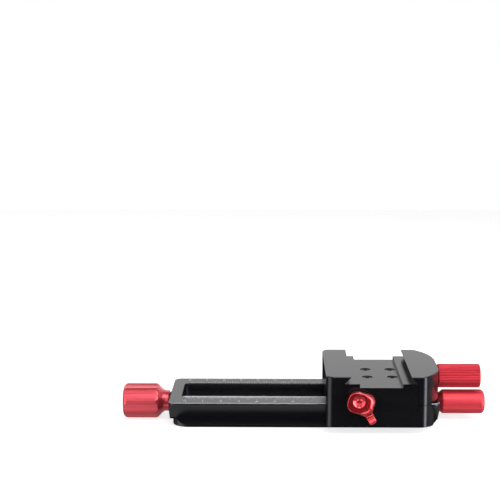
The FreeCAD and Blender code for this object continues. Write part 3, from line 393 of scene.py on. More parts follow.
@dataclass
class Finishes:
    """Every finish of the rail, made into materials once."""

    black_anodised: Finish = Finish(
        "black_anodised", (0.0016, 0.0016, 0.0020), (0.0028, 0.0028, 0.0034), 0.0, (0.21, 0.27),
        sheen_tint=(0.88, 0.88, 1.0), grain_depth=4e-6, streaks=(40.0, 160.0, 160.0),
        # painted highlight on the rail's top chamfers
        painted_highlight=PaintedHighlight.TOP_CHAMFERS,
    )
    red_anodised: Finish = Finish(
        "red_anodised", (0.80, 0.072, 0.104), (0.60, 0.028, 0.046), 0.72, (0.28, 0.38),
        grain=LONG_GRAIN, grain_depth=28e-6, grained=Grain.ALONG_X, streaks=LONG_STREAKS,
        coat=0.85, coat_roughness=0.28,
    )
    red_knurled: Finish = Finish(
        "red_anodised_knurled", (0.62, 0.040, 0.060), (0.36, 0.014, 0.024), 0.75, (0.34, 0.44),
        grain=LONG_GRAIN, grain_depth=12e-6, grained=Grain.ALONG_X, streaks=LONG_STREAKS,
    )
    red_turned: Finish = Finish(
        "red_anodised_turned", (0.74, 0.054, 0.076), (0.54, 0.026, 0.040), 0.60, (0.42, 0.52),
        grain=LONG_GRAIN, grain_depth=10e-6, grained=Grain.ALONG_X, streaks=LONG_STREAKS,
        coat=0.12, coat_roughness=0.3,
    )
    red_cast: Finish = Finish(
        "red_anodised_smooth", (0.68, 0.026, 0.038), (0.60, 0.020, 0.030), 0.85, (0.20, 0.26),
        grain=(2200.0, 2200.0, 2200.0), grain_depth=2e-6, streaks=(300.0, 300.0, 300.0),
        coat=1.0, coat_roughness=0.13,
    )
    steel: Finish = Finish(
        "ground_steel", (0.56, 0.56, 0.57), (0.44, 0.44, 0.45), 1.0, (0.22, 0.34),
        grain=(9000.0, 900.0, 900.0), grain_depth=4e-6, streaks=(200.0, 900.0, 900.0),
    )
    screw_steel: Finish = Finish(
        "rolled_steel", (0.66, 0.66, 0.69), (0.44, 0.44, 0.46), 0.5, (0.38, 0.50),
        grain=(3000.0, 900.0, 900.0), grain_depth=6e-6, streaks=(900.0, 900.0, 900.0),
    )
    bronze: Finish = Finish(
        "oiled_bronze", (0.060, 0.044, 0.030), (0.040, 0.030, 0.022), 0.9, (0.35, 0.48),
        grain=(2500.0, 2500.0, 2500.0), grain_depth=5e-6,
    )
    brass: Finish = Finish(
        "turned_brass", (0.72, 0.50, 0.22), (0.62, 0.42, 0.18), 1.0, (0.25, 0.38),
        grain=(6000.0, 900.0, 900.0), grain_depth=5e-6,
    )
    black_steel: Finish = Finish(
        "black_oxide_steel", (0.030, 0.030, 0.032), (0.018, 0.018, 0.020), 0.6, (0.30, 0.45),
        grain=(3000.0, 3000.0, 3000.0), grain_depth=5e-6,
    )
    glide_plastic: Finish = Finish(
        "glide_plastic", (0.62, 0.61, 0.56), (0.55, 0.54, 0.49), 0.0, (0.45, 0.60),
        grain_depth=6e-6,
    )
    washer_plastic: Finish = Finish(
        "washer_plastic", (0.020, 0.020, 0.021), (0.012, 0.012, 0.013), 0.0, (0.40, 0.55),
        specular=0.4, grain_depth=6e-6,
    )
    mark_fill: Finish = Finish(
        "engraved_mark_fill", (0.62, 0.63, 0.66), (0.42, 0.43, 0.46), 0.0, (0.50, 0.65),
        specular=0.3, streaks=(1500.0, 1500.0, 1500.0),
    )
    made: dict[str, Material] = field(default_factory=dict)

    def coat(self, mesh: Mesh, finish: Finish) -> None:
        """Give a mesh its material and smooth faces.

        Args:
            mesh: the mesh.
            finish: its finish.
        """
        mesh.materials.clear()
        mesh.materials.append(self.material(finish))
        mesh.polygons.foreach_set("use_smooth", [True] * len(mesh.polygons))

    def material(self, finish: Finish) -> Material:
        """Give a finish's material, made at first use.

        Args:
            finish: the finish.

        Returns:
            Its material.
        """
        if finish.name not in self.made:
            self.made[finish.name] = finish.build()
        return self.made[finish.name]


FINISHES = Finishes()


# Meshes


def show(item: Object) -> Object:
    """Put an object into the scene.

    Args:
        item: the object.

    Returns:
        The same object.
    """
    bpy.context.scene.collection.objects.link(item)
    return item


def finished_piece(
    name: str,
    mesh: Mesh,
    finish: Finish,
    body: str,
    node: Optional[str] = None,
    sharp: float = SMALL_EDGE,
) -> Object:
    """Make a piece and let it ride on its body.

    Args:
        name: its name.
        mesh: its mesh, in metres and in place.
        finish: its finish.
        body: the CAD body that carries it.
        node: the CAD node that it stands for, if any.
        sharp: edges that turn more degrees stay crisp.

    Returns:
        The new object.
    """
    FINISHES.coat(mesh, finish)
    mesh.set_sharp_from_angle(angle=math.radians(sharp))
    piece = show(bpy.data.objects.new(name, mesh))
    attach(piece, body)
    log.info("%s: %d faces on %s", name, len(mesh.polygons), body)
    if node is not None:
        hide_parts(node)
    return piece


def shade_crisply(piece: Object) -> None:
    """Shade round faces smoothly and flat ones flat up to their edges.

    Args:
        piece: the object, which gets live modifiers.
    """
    weld = piece.modifiers.new("weld", "WELD")
    weld.merge_threshold = 1e-6
    split = piece.modifiers.new("crisp_edges", "EDGE_SPLIT")
    split.split_angle = math.radians(FLAT_EDGE)
    split.use_edge_sharp = False
    flats = piece.modifiers.new("flat_faces", "WEIGHTED_NORMAL")
    flats.keep_sharp = False


def evaluated(carrier: Object) -> Mesh:
    """Apply and remove an object's modifiers.

    Args:
        carrier: the object.

    Returns:
        Its shape as a plain mesh.
    """
    bpy.context.view_layer.update()
    graph = bpy.context.evaluated_depsgraph_get()
    mesh = bpy.data.meshes.new_from_object(carrier.evaluated_get(graph))
    carrier.modifiers.clear()
    return mesh


def mesh_from(builder: BMesh, name: str, unit: float = MM) -> Mesh:
    """Turn a bmesh into a welded mesh in metres with its faces outwards.

    Args:
        builder: the bmesh, which is freed.
        name: the mesh's name.
        unit: the bmesh's unit in metres.

    Returns:
        The mesh.
    """
    bmesh.ops.remove_doubles(builder, verts=builder.verts, dist=SAME_PLACE / unit)
    bmesh.ops.recalc_face_normals(builder, faces=builder.faces)
    mesh = bpy.data.meshes.new(name)
    builder.to_mesh(mesh)
    builder.free()
    mesh.transform(Matrix.Scale(unit, 4))
    return mesh


def ring(builder: BMesh, steps: int, place: Callable[[float], Sequence[float]]) -> list[BMVert]:
    """Add the points of a closed ring.

    Args:
        builder: the bmesh.
        steps: number of points.
        place: gives the point for an angle.

    Returns:
        The points.
    """
    return [builder.verts.new(place(2.0 * math.pi * step / steps)) for step in range(steps)]


def loft(builder: BMesh, rings: Sequence[list[BMVert]]) -> None:
    """Join rings of equally many points with faces.

    Args:
        builder: the bmesh.
        rings: the rings; one that repeats a single point makes a pole.
    """
    for first, second in zip(rings, rings[1:]):
        for step in range(len(first)):
            after = (step + 1) % len(first)
            corners = (first[step], first[after], second[after], second[step])
            unique = list(dict.fromkeys(corners))
            if len(unique) > 2:
                builder.faces.new(unique)


def lathe(profile: Profile, height: float, steps: int) -> BMesh:
    """Turn a profile about an axis along X.

    Args:
        profile: (along, radius) points from one end of the axis to the other.
        height: the axis above the foot.
        steps: faces round the axis.

    Returns:
        The bmesh.
    """
    builder = bmesh.new()
    rings = []
    for along, radius in profile:
        if radius == 0.0:
            rings.append([builder.verts.new((along, 0.0, height))] * steps)
            continue
        rings.append(ring(
            builder,
            steps,
            lambda angle: (along, radius * math.cos(angle), height + radius * math.sin(angle)),
        ))
    loft(builder, rings)
    return builder


def arc_points(centre: Pair, radius: float, start: float, end: float, count: int) -> Profile:
    """Draw an arc in a profile.

    Args:
        centre: its centre.
        radius: its radius.
        start: first angle in degrees.
        end: last angle.
        count: number of steps.

    Returns:
        Its points, with both ends.
    """
    angles = [math.radians(start + (end - start) * step / count) for step in range(count + 1)]
    return [(centre[0] + radius * math.cos(a), centre[1] + radius * math.sin(a)) for a in angles]


def stretch(start: Pair, end: Pair, count: int) -> Profile:
    """Draw a straight stretch in a profile.

    Args:
        start: first point.
        end: last point.
        count: number of steps.

    Returns:
        Its points, with both ends.
    """
    run, rise = end[0] - start[0], end[1] - start[1]
    return [
        (start[0] + run * step / count, start[1] + rise * step / count)
        for step in range(count + 1)
    ]


# Geometry Nodes


class ShapeTree(NodeTree):
    """A Geometry Nodes tree that is built in the script and turned into a plain mesh."""

    def __init__(self, name: str) -> None:
        """Start a tree with a geometry input and output.

        Args:
            name: its name.
        """
        super().__init__(bpy.data.node_groups.new(name, "GeometryNodeTree"))
        for way in ("INPUT", "OUTPUT"):
            sort = "NodeSocketGeometry"
            self.tree.interface.new_socket("Geometry", in_out=way, socket_type=sort)
        self.given = self.add("NodeGroupInput")
        self.values: dict[str, float] = {}

    def size(self, name: str, value: float) -> Socket:
        """Add a named input.

        Args:
            name: its name.
            value: what this piece sets it to.

        Returns:
            Its socket inside the tree.
        """
        kind = "NodeSocketInt" if isinstance(value, int) else "NodeSocketFloat"
        self.tree.interface.new_socket(name, in_out="INPUT", socket_type=kind)
        self.values[name] = value
        return self.given[name]

    def mesh(self, geometry: Socket, finish: Finish, base: Optional[Mesh] = None) -> Mesh:
        """End the tree and run it.

        Args:
            geometry: the finished shape.
            finish: its finish.
            base: the mesh that it starts from, if any.

        Returns:
            The result as a plain mesh.
        """
        solid = self.add("GeometryNodeRealizeInstances", "Geometry", {"Geometry": geometry})
        dress = {"Geometry": solid, "Material": FINISHES.material(finish)}
        dressed = self.add("GeometryNodeSetMaterial", "Geometry", dress)
        self.add("NodeGroupOutput", None, {"Geometry": dressed})
        start = base or bpy.data.meshes.new("empty")
        carrier = show(bpy.data.objects.new(self.tree.name, start))
        modifier = carrier.modifiers.new("shape", "NODES")
        modifier.node_group = self.tree
        for item in self.tree.interface.items_tree:
            if item.in_out == "INPUT" and item.name in self.values:
                modifier[item.identifier] = self.values[item.name]
        result = evaluated(carrier)
        bpy.data.objects.remove(carrier)
        return result


@dataclass
class Thread:
    """A thread ridge wound round an axis, with a section of four corners.

    A corner's place is how far it is outwards of the radius and from the section's middle.
    """

    name: str
    body: str
    slot: str
    finish: Finish
    start: Triple
    axis: Axis
    radius: float
    pitch: float
    length: float
    steps: int
    foot: Pair
    crest: Pair

    def build(self) -> None:
        """Wind the ridge, close its ends and let it ride on its body."""
        tree = ShapeTree(self.name)
        radius = tree.size("Radius", self.radius * MM)
        curve = tree.add("GeometryNodeCurveSpiral", "Curve", {
            "Resolution": self.steps,
            "Rotations": tree.size("Turns", self.length / self.pitch),
            "Start Radius": radius,
            "End Radius": radius,
            "Height": tree.size("Length", self.length * MM),
        })
        level = {"Curve": curve}
        curve = tree.add("GeometryNodeSetCurveNormal", "Curve", level, mode="Z_UP")
        corners = [
            (out * MM, hand * half * MM, 0.0)
            for (out, half), hand in zip(
                (self.foot, self.crest, self.crest, self.foot), (-1, -1, 1, 1)
            )
        ]
        lines = [
            tree.add("GeometryNodeCurvePrimitiveLine", "Curve", {"Start": start, "End": end})
            for start, end in zip(corners, corners[1:] + corners[:1])
        ]
        section = tree.add("GeometryNodeJoinGeometry", "Geometry", {"Geometry": lines})
        parts = {"Curve": curve, "Profile Curve": section}
        seams = {
            "Geometry": tree.add("GeometryNodeCurveToMesh", "Mesh", parts),
            "Distance": SAME_PLACE,
        }
        tilt = math.pi / 2.0 if self.axis is Axis.ALONG else 0.0
        place = tree.add("GeometryNodeTransform", "Geometry", {
            "Geometry": tree.add("GeometryNodeMergeByDistance", "Geometry", seams),
            "Translation": tuple(value * MM for value in self.start),
            "Rotation": (0.0, tilt, 0.0),
        })
        builder = bmesh.new()
        builder.from_mesh(tree.mesh(place, self.finish))
        bmesh.ops.remove_doubles(builder, verts=builder.verts, dist=SAME_PLACE)
        open_edges = [edge for edge in builder.edges if edge.is_boundary]
        bmesh.ops.holes_fill(builder, edges=open_edges)
        mesh = mesh_from(builder, self.name, 1.0)
        finished_piece(self.name, mesh, self.finish, self.body, sharp=THREAD_EDGE)


def tripod_threads() -> Iterable[Thread]:
    """Give the threads of the three tapped holes under the rail.

    Returns:
        A large one between two small ones.
    """
    small, large = (2.6, 1.27), (3.97, 1.5875)
    return [
        Thread(
            f"tripod_thread_{name}", "rail", "black_anodised", FINISHES.black_anodised,
            start=(x, 0.0, 0.5), axis=Axis.UPRIGHT, radius=radius, pitch=pitch, length=4.6,
            steps=32, foot=(0.02, pitch * 0.3), crest=(-0.22, 0.05),
        )
        for name, x, (radius, pitch) in (
            ("front", -32.0, small), ("middle", 0.0, large), ("rear", 32.0, small)
        )
    ]


# Sub-assemblies


@dataclass
class CadDress:
    """Finishes of the nodes that keep their CAD shape."""

    nodes: dict[Finish, Sequence[str]]

    def dress(self) -> None:
        """Give every node its material and smooth shading across its round faces."""
        for finish, names in self.nodes.items():
            for name in names:
                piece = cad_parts[name]
                FINISHES.coat(piece.data, finish)
                shade_crisply(piece)
                log.info("%s: %s", name, finish.name)


@dataclass
class CarriageBlock:
    """The carriage's block, with the rounder upright edges of its flat end."""

    end: float = 12.0
    side: float = 32.0
    solid_radius: float = 2.0
    radius: float = 4.0
    tolerance: float = 1e-4

    def corner(self, x: float, y: float) -> Pair:
        """Move a corner's point from the solid's rounding onto the wider one.

        Args:
            x: place along the rail.
            y: place across it.

        Returns:
            The new place, or the old one outside the rounding.
        """
        hand = math.copysign(1.0, y)
        right, out = x - self.end - self.solid_radius, abs(y) - self.side + self.solid_radius
        if right > self.tolerance or out < -self.tolerance:
            return x, y
        reach = math.hypot(right, out)
        if reach < self.solid_radius * 0.5:
            return x, y
        scale = (self.radius - self.solid_radius + reach) / reach
        return (
            self.end + self.radius + right * scale,
            hand * (self.side - self.radius + out * scale),
        )

    def build(self) -> None:
        """Round a copy of the solid's mesh and let it stand for the node."""
        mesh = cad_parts["carriage_body"].data.copy()
        for point in mesh.vertices:
            x, y = self.corner(point.co.x / MM, point.co.y / MM)
            point.co.x, point.co.y = x * MM, y * MM
        shade_crisply(finished_piece(
            "carriage_block", mesh, FINISHES.black_anodised, "carriage",
            "carriage_body", NO_EDGE,
        ))


@dataclass
class ThreadedRod:
    """A turned rod along X with a thread wound on its root."""

    name: str
    node: str
    body: str
    finish: Finish
    profile: Profile
    height: float
    steps: int
    radius: float
    root: float
    pitch: float
    thread_start: float
    thread_length: float
    crest_half: float
    thread_steps: int = 20
    sunk: float = 0.05
    foot_share: float = 0.46

    def build(self) -> None:
        """Make the turned core and the ridge wound on it."""
        core = mesh_from(lathe(self.profile, self.height, self.steps), self.name)
        finished_piece(self.name, core, self.finish, self.body, self.node)
        start = (self.thread_start, 0.0, self.height)
        foot = (-self.sunk, self.pitch * self.foot_share)
        crest = (self.radius - self.root, self.crest_half)
        Thread(
            f"{self.name}_thread", self.body, "steel", self.finish, start, Axis.ALONG,
            self.root, self.pitch, self.thread_length, self.thread_steps, foot, crest,
        ).build()


def threaded_rods() -> Iterable[ThreadedRod]:
    """Give the rods.

    Returns:
        The drive screw with a plain journal at each end, and the screw that draws the jaw in.
    """
    root, journal, shoulder, tip, bevel = 2.45, 2.5, 68.5, 94.4, 0.3
    half = [(shoulder, root), (shoulder, journal), (tip - bevel, journal)]
    half += [(tip, journal - bevel), (tip, 0.0)]
    drive = [(-along, radius) for along, radius in reversed(half)] + half
    radius, bare, start, neck, end = 2.5, 2.1, 54.6, 66.0, 90.3
    clamp = [(start, 0.0), (start, bare), (neck, bare), (neck, radius), (end, radius), (end, 0.0)]
    return (
        ThreadedRod(
            "drive_screw", "lead_screw", "lead_screw", FINISHES.screw_steel, drive, height=10.0,
            steps=48, radius=3.0, root=root, pitch=1.0, thread_start=-68.2,
            thread_length=136.4, crest_half=0.07,
        ),
        ThreadedRod(
            "clamp_rod", "clamp_screw", "clamp_drive", FINISHES.steel, clamp, height=25.0,
            steps=40, radius=radius, root=bare, pitch=0.8, thread_start=55.0,
            thread_length=11.0, crest_half=0.06,
        ),
    )


@dataclass
class Knob:
    """A turned knob with flutes and a fine knurl."""

    name: str
    node: str
    body: str
    finish: Finish
    profile: Profile
    side: Side = Side.REAR
    height: float = 10.0
    face: float = 76.4
    grip: float = 9.8
    flutes: int = 8
    flute_depth: float = 0.75
    cutter: float = 6.0
    ribs: int = 96
    rib_depth: float = 0.05
    steps: int = 576
    phase: float = 0.0
    bore_depth: float = 18.2
    bore_radius: float = 2.5
    seam: float = 0.08

    def cut(self, base: Mesh) -> Mesh:
        """Cut flutes and a straight knurl by rule.

        Args:
            base: the turned knob.

        Returns:
            The knob's mesh.
        """
        tree = ShapeTree(self.name)
        calc = tree.math
        axis = tree.size("Axis Height", self.height * MM)
        radius = tree.size("Grip Radius", self.grip * MM)
        count = tree.size("Flutes", float(self.flutes))
        depth = tree.size("Flute Depth", self.flute_depth * MM)
        tool = tree.size("Cutter Radius", self.cutter * MM)
        rib_count = tree.size("Ribs", float(self.ribs))
        rib = tree.size("Rib Depth", self.rib_depth * MM)
        turn = tree.size("Phase", math.radians(self.phase))
        position = tree.add("GeometryNodeInputPosition", "Position")
        parts = tree.add("ShaderNodeSeparateXYZ", None, {"Vector": position})
        across, up = parts["Y"], calc("SUBTRACT", parts["Z"], axis)
        squares = calc("ADD", calc("POWER", across, 2.0), calc("POWER", up, 2.0))
        turned = calc("SQRT", squares)
        angle = calc("ADD", calc("ARCTAN2", up, across), turn)
        half = calc("DIVIDE", math.pi, count)
        near = calc("WRAP", angle, half, calc("MULTIPLY", half, -1.0))
        # a flute is the part of the cutter's circle that reaches into the grip
        reach = calc("SUBTRACT", calc("ADD", radius, tool), depth)
        side = calc("MULTIPLY", reach, calc("SINE", near))
        inside = calc("SUBTRACT", calc("POWER", tool, 2.0), calc("POWER", side, 2.0))
        chord = calc("SQRT", calc("MAXIMUM", inside, 0.0))
        floor = calc("SUBTRACT", calc("MULTIPLY", reach, calc("COSINE", near)), chord)
        wave = calc("COSINE", calc("MULTIPLY", angle, rib_count))
        dip = calc("MULTIPLY", calc("SUBTRACT", 1.0, wave), calc("MULTIPLY", rib, 0.5))
        limit = calc("SUBTRACT", calc("MINIMUM", floor, radius), dip)
        cut = calc("SMOOTH_MIN", turned, limit, self.seam * MM)
        ratio = calc("DIVIDE", cut, calc("MAXIMUM", turned, 1e-6))
        raised = calc("ADD", calc("MULTIPLY", up, ratio), axis)
        place = tree.vector(parts["X"], calc("MULTIPLY", across, ratio), raised)
        inputs = {"Geometry": tree.given["Geometry"], "Position": place}
        move = tree.add("GeometryNodeSetPosition", "Geometry", inputs)
        return tree.mesh(move, self.finish, base)

    def build(self) -> None:
        """Make the knob and let it stand for its node."""
        bore = [(self.bore_depth, 0.0), (self.bore_depth, self.bore_radius)]
        profile = [
            ((self.face + along) * self.side.value, radius)
            for along, radius in [*bore, (0.0, self.bore_radius), *self.profile]
        ]
        mesh = self.cut(mesh_from(lathe(profile, self.height, self.steps), self.name))
        finished_piece(
            self.name, mesh, self.finish, self.body, self.node, KNOB_EDGE
        )


def knobs() -> Iterable[Knob]:
    """Give the three knobs, each profile from the bore's mouth to the end's middle.

    Returns:
        The large, the slim and the clamp's knob.
    """
    neck, grip, rounding, end = 5.9, 9.8, 2.6, 26.0
    dome = end - rounding
    front = [(0.0, neck - 0.2), (0.2, neck), (1.9, neck), (2.6, 6.05), (3.4, 6.45)]
    front += [(4.1, 7.05), (4.8, 7.75), (5.5, 8.5), (6.1, 9.1), (6.6, 9.5), (7.2, grip)]
    front += stretch((7.5, grip), (dome, grip), 14)
    front += arc_points((dome, grip - rounding), rounding, 80.0, 0.0, 12)
    front += [(end, 3.0), (end, 0.0)]

    shoulder, taper, slim, rounding, end = 4.6, 2.9, 6.85, 2.4, 26.5
    dome = end - rounding
    rear = [(0.0, shoulder - 0.2), *stretch((0.2, shoulder), (taper, slim), 6)]
    rear += stretch((taper + 0.3, slim), (dome, slim), 14)
    rear += arc_points((dome, slim - rounding), rounding, 80.0, 0.0, 12)
    rear += [(end, 2.0), (end, 0.0)]

    knurled, bevel, end, dent = 6.7, 0.7, 23.8, 0.25
    low = knurled - bevel
    clamp = [(0.0, low), *arc_points((bevel, low), bevel, 180.0, 90.0, 5)[1:]]
    clamp += stretch((bevel + 0.2, knurled), (end - bevel - 0.2, knurled), 12)
    clamp += arc_points((end - bevel, low), bevel, 90.0, 0.0, 5)
    clamp += [(end, 4.6), (end - dent, 4.3), (end - dent, 0.0)]
    return (
        Knob(
            "drive_knob_front", "front_knob", "lead_screw", FINISHES.red_anodised, front,
            Side.FRONT, cutter=9.0, phase=-13.0,
        ),
        Knob(
            "drive_knob_rear", "rear_knob", "lead_screw", FINISHES.red_turned, rear,
            grip=slim, flute_depth=0.12, ribs=72, rib_depth=0.03, steps=432, phase=-13.0,
        ),
        Knob(
            "clamp_knob_grip", "clamp_knob", "clamp_drive", FINISHES.red_knurled, clamp,
            height=25.0, face=76.3, grip=knurled, flutes=24, flute_depth=-0.5, ribs=44,
            rib_depth=0.28, steps=440, bore_depth=14.2,
        ),
    )


@dataclass(frozen=True)
class RoundedPlate:
    """A rounded rectangle in the lever's plane, from its axis, turned by degrees."""

    middle: Pair
    half: Pair
    corner: float
    turn: float

    def distance(self, x: Array, z: Array) -> Array:
        """Measure to the outline.

        Args:
            x: places across.
            z: places upwards.

        Returns:
            The distances, negative inside.
        """
        angle = math.radians(self.turn)
        right, up = x - self.middle[0], z - self.middle[1]
        p = np.abs(right * math.cos(angle) + up * math.sin(angle)) - (self.half[0] - self.corner)
        q = np.abs(up * math.cos(angle) - right * math.sin(angle)) - (self.half[1] - self.corner)
        outside = np.hypot(np.maximum(p, 0.0), np.maximum(q, 0.0))
        return outside + np.minimum(np.maximum(p, q), 0.0) - self.corner


def blend_out(first: Array, second: Array, soft: float) -> Array:
    """Cut one shape by another with a rounded edge.

    Args:
        first: distance to one.
        second: distance to the other.
        soft: width of the rounding.

    Returns:
        The distance to what both share.
    """
    near = np.maximum(soft - np.abs(first - second), 0.0) / soft
    return np.maximum(first, second) + near * near * soft / 4.0


def step_between(value: Array, low: float, high: float) -> Array:
    """Rise smoothly from 0 at low to 1 at high.

    Args:
        value: the values.
        low: where the step starts.
        high: where it ends.

    Returns:
        The heights.
    """
    share = np.clip((value - low) / (high - low), 0.0, 1.0)
    return share * share * (3.0 - 2.0 * share)


@dataclass
class BrakeLever:
    """The lever: a domed head with a dished boss, and a tail with a raised toe."""

    x: float = 29.7
    z: float = 19.8
    back: float = -33.4
    hub_depth: float = 1.2
    hub_radius: float = 4.5
    foot_plate: RoundedPlate = RoundedPlate((1.2, -1.3), (7.5, 6.05), 4.8, -15.0)
    front_plate: RoundedPlate = RoundedPlate((-0.6, -0.6), (5.6, 5.5), 4.4, -15.0)
    skirt: float = 0.5
    head_thickness: float = 4.1
    boss_radius: float = 4.9
    boss_height: float = 0.06
    boss_seam: float = 0.4
    dish_radius: float = 3.3
    dish_depth: float = 1.25
    tail_angle: float = 58.0
    tail_start: float = 2.0
    tail_reach: float = 15.1
    tail_half: float = 2.05
    tail_shift: float = 0.42
    tail_end_rounding: float = 1.7
    tail_thickness: float = 1.7
    flare: float = 0.7
    flare_span: Pair = (6.5, 9.5)
    slope: float = 1.3
    slope_span: Pair = (4.5, 12.5)
    toe: float = 1.9
    toe_start: float = 5.2
    toe_rise: float = 3.7
    toe_fall: float = 1.3
    toe_fall_run: float = 1.5
    edge_rounding: float = 0.4
    back_rounding: float = 0.3
    fillet: float = 2.0
    fillet_fade: float = 1.2
    voxel: float = 0.13
    passes: int = 2
    settle_rounds: int = 14

    def head(self, x: Array, z: Array, out: Array) -> Array:
        """Measure to the head.

        Args:
            x: places across, from the axis.
            z: places upwards, from the axis.
            out: places outwards, from the back.

        Returns:
            The distances.
        """
        share = np.clip((out - self.skirt) / (self.head_thickness - self.skirt), 0.0, 1.0)
        share = 1.0 - np.sqrt(np.maximum(1.0 - share * share, 0.0))
        foot, front = self.foot_plate.distance(x, z), self.front_plate.distance(x, z)
        side = foot + (front - foot) * share
        radius = np.hypot(x, z)
        seam = (self.boss_radius - self.boss_seam, self.boss_radius + self.boss_seam)
        boss = self.boss_height * (1.0 - step_between(radius, *seam))
        dish = self.dish_depth * np.maximum(1.0 - (radius / self.dish_radius) ** 2, 0.0)
        return blend_out(side, out - (self.head_thickness + boss - dish), self.edge_rounding)

    def tail(self, x: Array, z: Array, out: Array) -> Array:
        """Measure to the tail.

        Args:
            x: places across, from the axis.
            z: places upwards, from the axis.
            out: places outwards, from the back.

        Returns:
            The distances.
        """
        turn = math.radians(self.tail_angle)
        along = x * math.cos(turn) - z * math.sin(turn)
        aside = x * math.sin(turn) + z * math.cos(turn) - self.tail_shift
        half = self.tail_half + self.flare * (1.0 - step_between(along, *self.flare_span))
        past = along - self.tail_reach
        edge = blend_out(np.abs(aside) - half, past, self.tail_end_rounding)
        edge = np.maximum(edge, self.tail_start - along)
        slope = 1.0 - step_between(along, *self.slope_span)
        rise = np.clip((past + self.toe_start) / self.toe_rise, 0.0, 1.0)
        fall = np.clip((past + self.toe_fall_run) / self.toe_fall_run, 0.0, 1.0)
        height = self.tail_thickness + self.slope * slope + self.toe * rise**2
        return blend_out(edge, out - (height - self.toe_fall * fall), self.edge_rounding)

    def surface(self, points: Array) -> Array:
        """Measure to the lever.

        Args:
            points: rows of X, Y and Z in the rail's frame.

        Returns:
            The distances, negative inside.
        """
        x, z = points[:, 0] - self.x, points[:, 2] - self.z
        out = self.back - points[:, 1]
        head = self.head(x, z, out)
        arm = -blend_out(-head, -self.tail(x, z, out), self.fillet)
        radius = np.hypot(x, z)
        beside = radius - self.boss_radius
        fade = np.clip(1.0 - beside / self.fillet_fade, 0, 1)
        arm = np.where(beside < 0.0, head, arm + (head - arm) * fade)
        arm = blend_out(arm, -out, self.back_rounding)
        hub = np.maximum(radius - self.hub_radius, np.abs(out) - self.hub_depth)
        return np.minimum(arm, hub)

    def settle(self, mesh: Mesh) -> None:
        """Move a mesh's points onto the surface.

        Args:
            mesh: a mesh near it.
        """
        flat = np.empty(len(mesh.vertices) * 3, dtype=np.float32)
        mesh.vertices.foreach_get("co", flat)
        points = flat.reshape(-1, 3).astype(np.float64) / MM
        nudge, gentle, longest = 1e-3, 0.25, 0.25
        for _ in range(self.settle_rounds):
            value = self.surface(points)
            slope = np.empty_like(points)
            for axis in range(3):
                ahead = points.copy()
                ahead[:, axis] += nudge
                slope[:, axis] = (self.surface(ahead) - value) / nudge
            steep = np.maximum((slope**2).sum(axis=1), gentle)
            points -= slope * np.clip(value / steep, -longest, longest)[:, None]
        mesh.vertices.foreach_set("co", (points * MM).astype(np.float32).ravel())
        mesh.update()

    def blank(self) -> Mesh:
        """Make a rough block of overlapping parts.

        Returns:
            The mesh.
        """
        builder = bmesh.new()
        turn = math.radians(self.tail_angle)
        mouth = Vector((math.cos(turn), 0.0, -math.sin(turn)))
        head = Vector((self.foot_plate.middle[0], 0.0, self.foot_plate.middle[1]))
        # middle, radius, and how far outwards it starts and ends
        discs = [
            (head, 6.4, 0.0, 3.8),
            (Vector((0.0, 0.0, 0.0)), self.hub_radius, -self.hub_depth, 0.6),
            (mouth * 8.5, 2.6, 0.0, 2.4),
            (mouth * 10.6, 2.0, 0.0, 2.6),
            (mouth * 12.6, 1.9, 0.0, 3.0),
        ]
        for middle, radius, low, high in discs:
            ends = [
                ring(builder, 48, lambda angle: (
                    self.x + middle.x + radius * math.cos(angle),
                    self.back - out,
                    self.z + middle.z + radius * math.sin(angle),
                ))
                for out in (low, high)
            ]
            loft(builder, ends)
            for end in ends:
                builder.faces.new(end)
        return mesh_from(builder, "brake_lever_blank")

    def build(self) -> None:
        """Join the blank into one skin and settle it on the lever's surface."""
        carrier = show(bpy.data.objects.new("lever_blank", self.blank()))
        for _ in range(self.passes):
            remesh = carrier.modifiers.new("cast", "REMESH")
            remesh.mode = "VOXEL"
            remesh.voxel_size = self.voxel * MM
            skin = evaluated(carrier)
            self.settle(skin)
            carrier.data = skin
        bpy.data.objects.remove(carrier)
        finished_piece(
            "brake_lever_arm", skin, FINISHES.red_cast, "brake_lever",
            "lock_lever", NO_EDGE,
        )


@dataclass
class SocketScrew:
    """A grub screw with a hexagon socket in its outer end."""

    name: str
    node: str
    body: str
    tip: Vector
    outward: Vector
    radius: float
    length: float
    socket: float
    point_bevel: float = 0.25
    rim_bevel: float = 0.2
    deepest: float = 1.4
    steps: int = 36

    def build(self) -> None:
        """Make the screw and let it stand for its node."""
        builder = bmesh.new()
        turn = Vector((0.0, 0.0, 1.0)).rotation_difference(self.outward)
        sixth = math.pi / 3.0
        flat = self.socket / math.sqrt(3.0) * math.cos(sixth / 2.0)

        def point(angle: float) -> Vector:
            """Give a ring's point, where a radius of 0 stands for the hexagon.

            Args:
                angle: the angle.

            Returns:
                The point.
            """
            reach = radius or flat / math.cos(angle % sixth - sixth / 2.0)
            corner = Vector((reach * math.cos(angle), reach * math.sin(angle), along))
            return self.tip + turn @ corner

        rings = []
        for along, radius in (
            (0.0, self.radius - self.point_bevel),
            (self.point_bevel, self.radius),
            (self.length - self.rim_bevel, self.radius),
            (self.length, self.radius - self.rim_bevel),
            (self.length, 0.0),
            (self.length - min(self.deepest, self.length * 0.5), 0.0),
        ):
            rings.append(ring(builder, self.steps, point))
        loft(builder, rings)
        builder.faces.new(rings[0])
        builder.faces.new(rings[-1])
        mesh = mesh_from(builder, self.name)
        black = FINISHES.black_steel
        finished_piece(self.name, mesh, black, self.body, self.node)


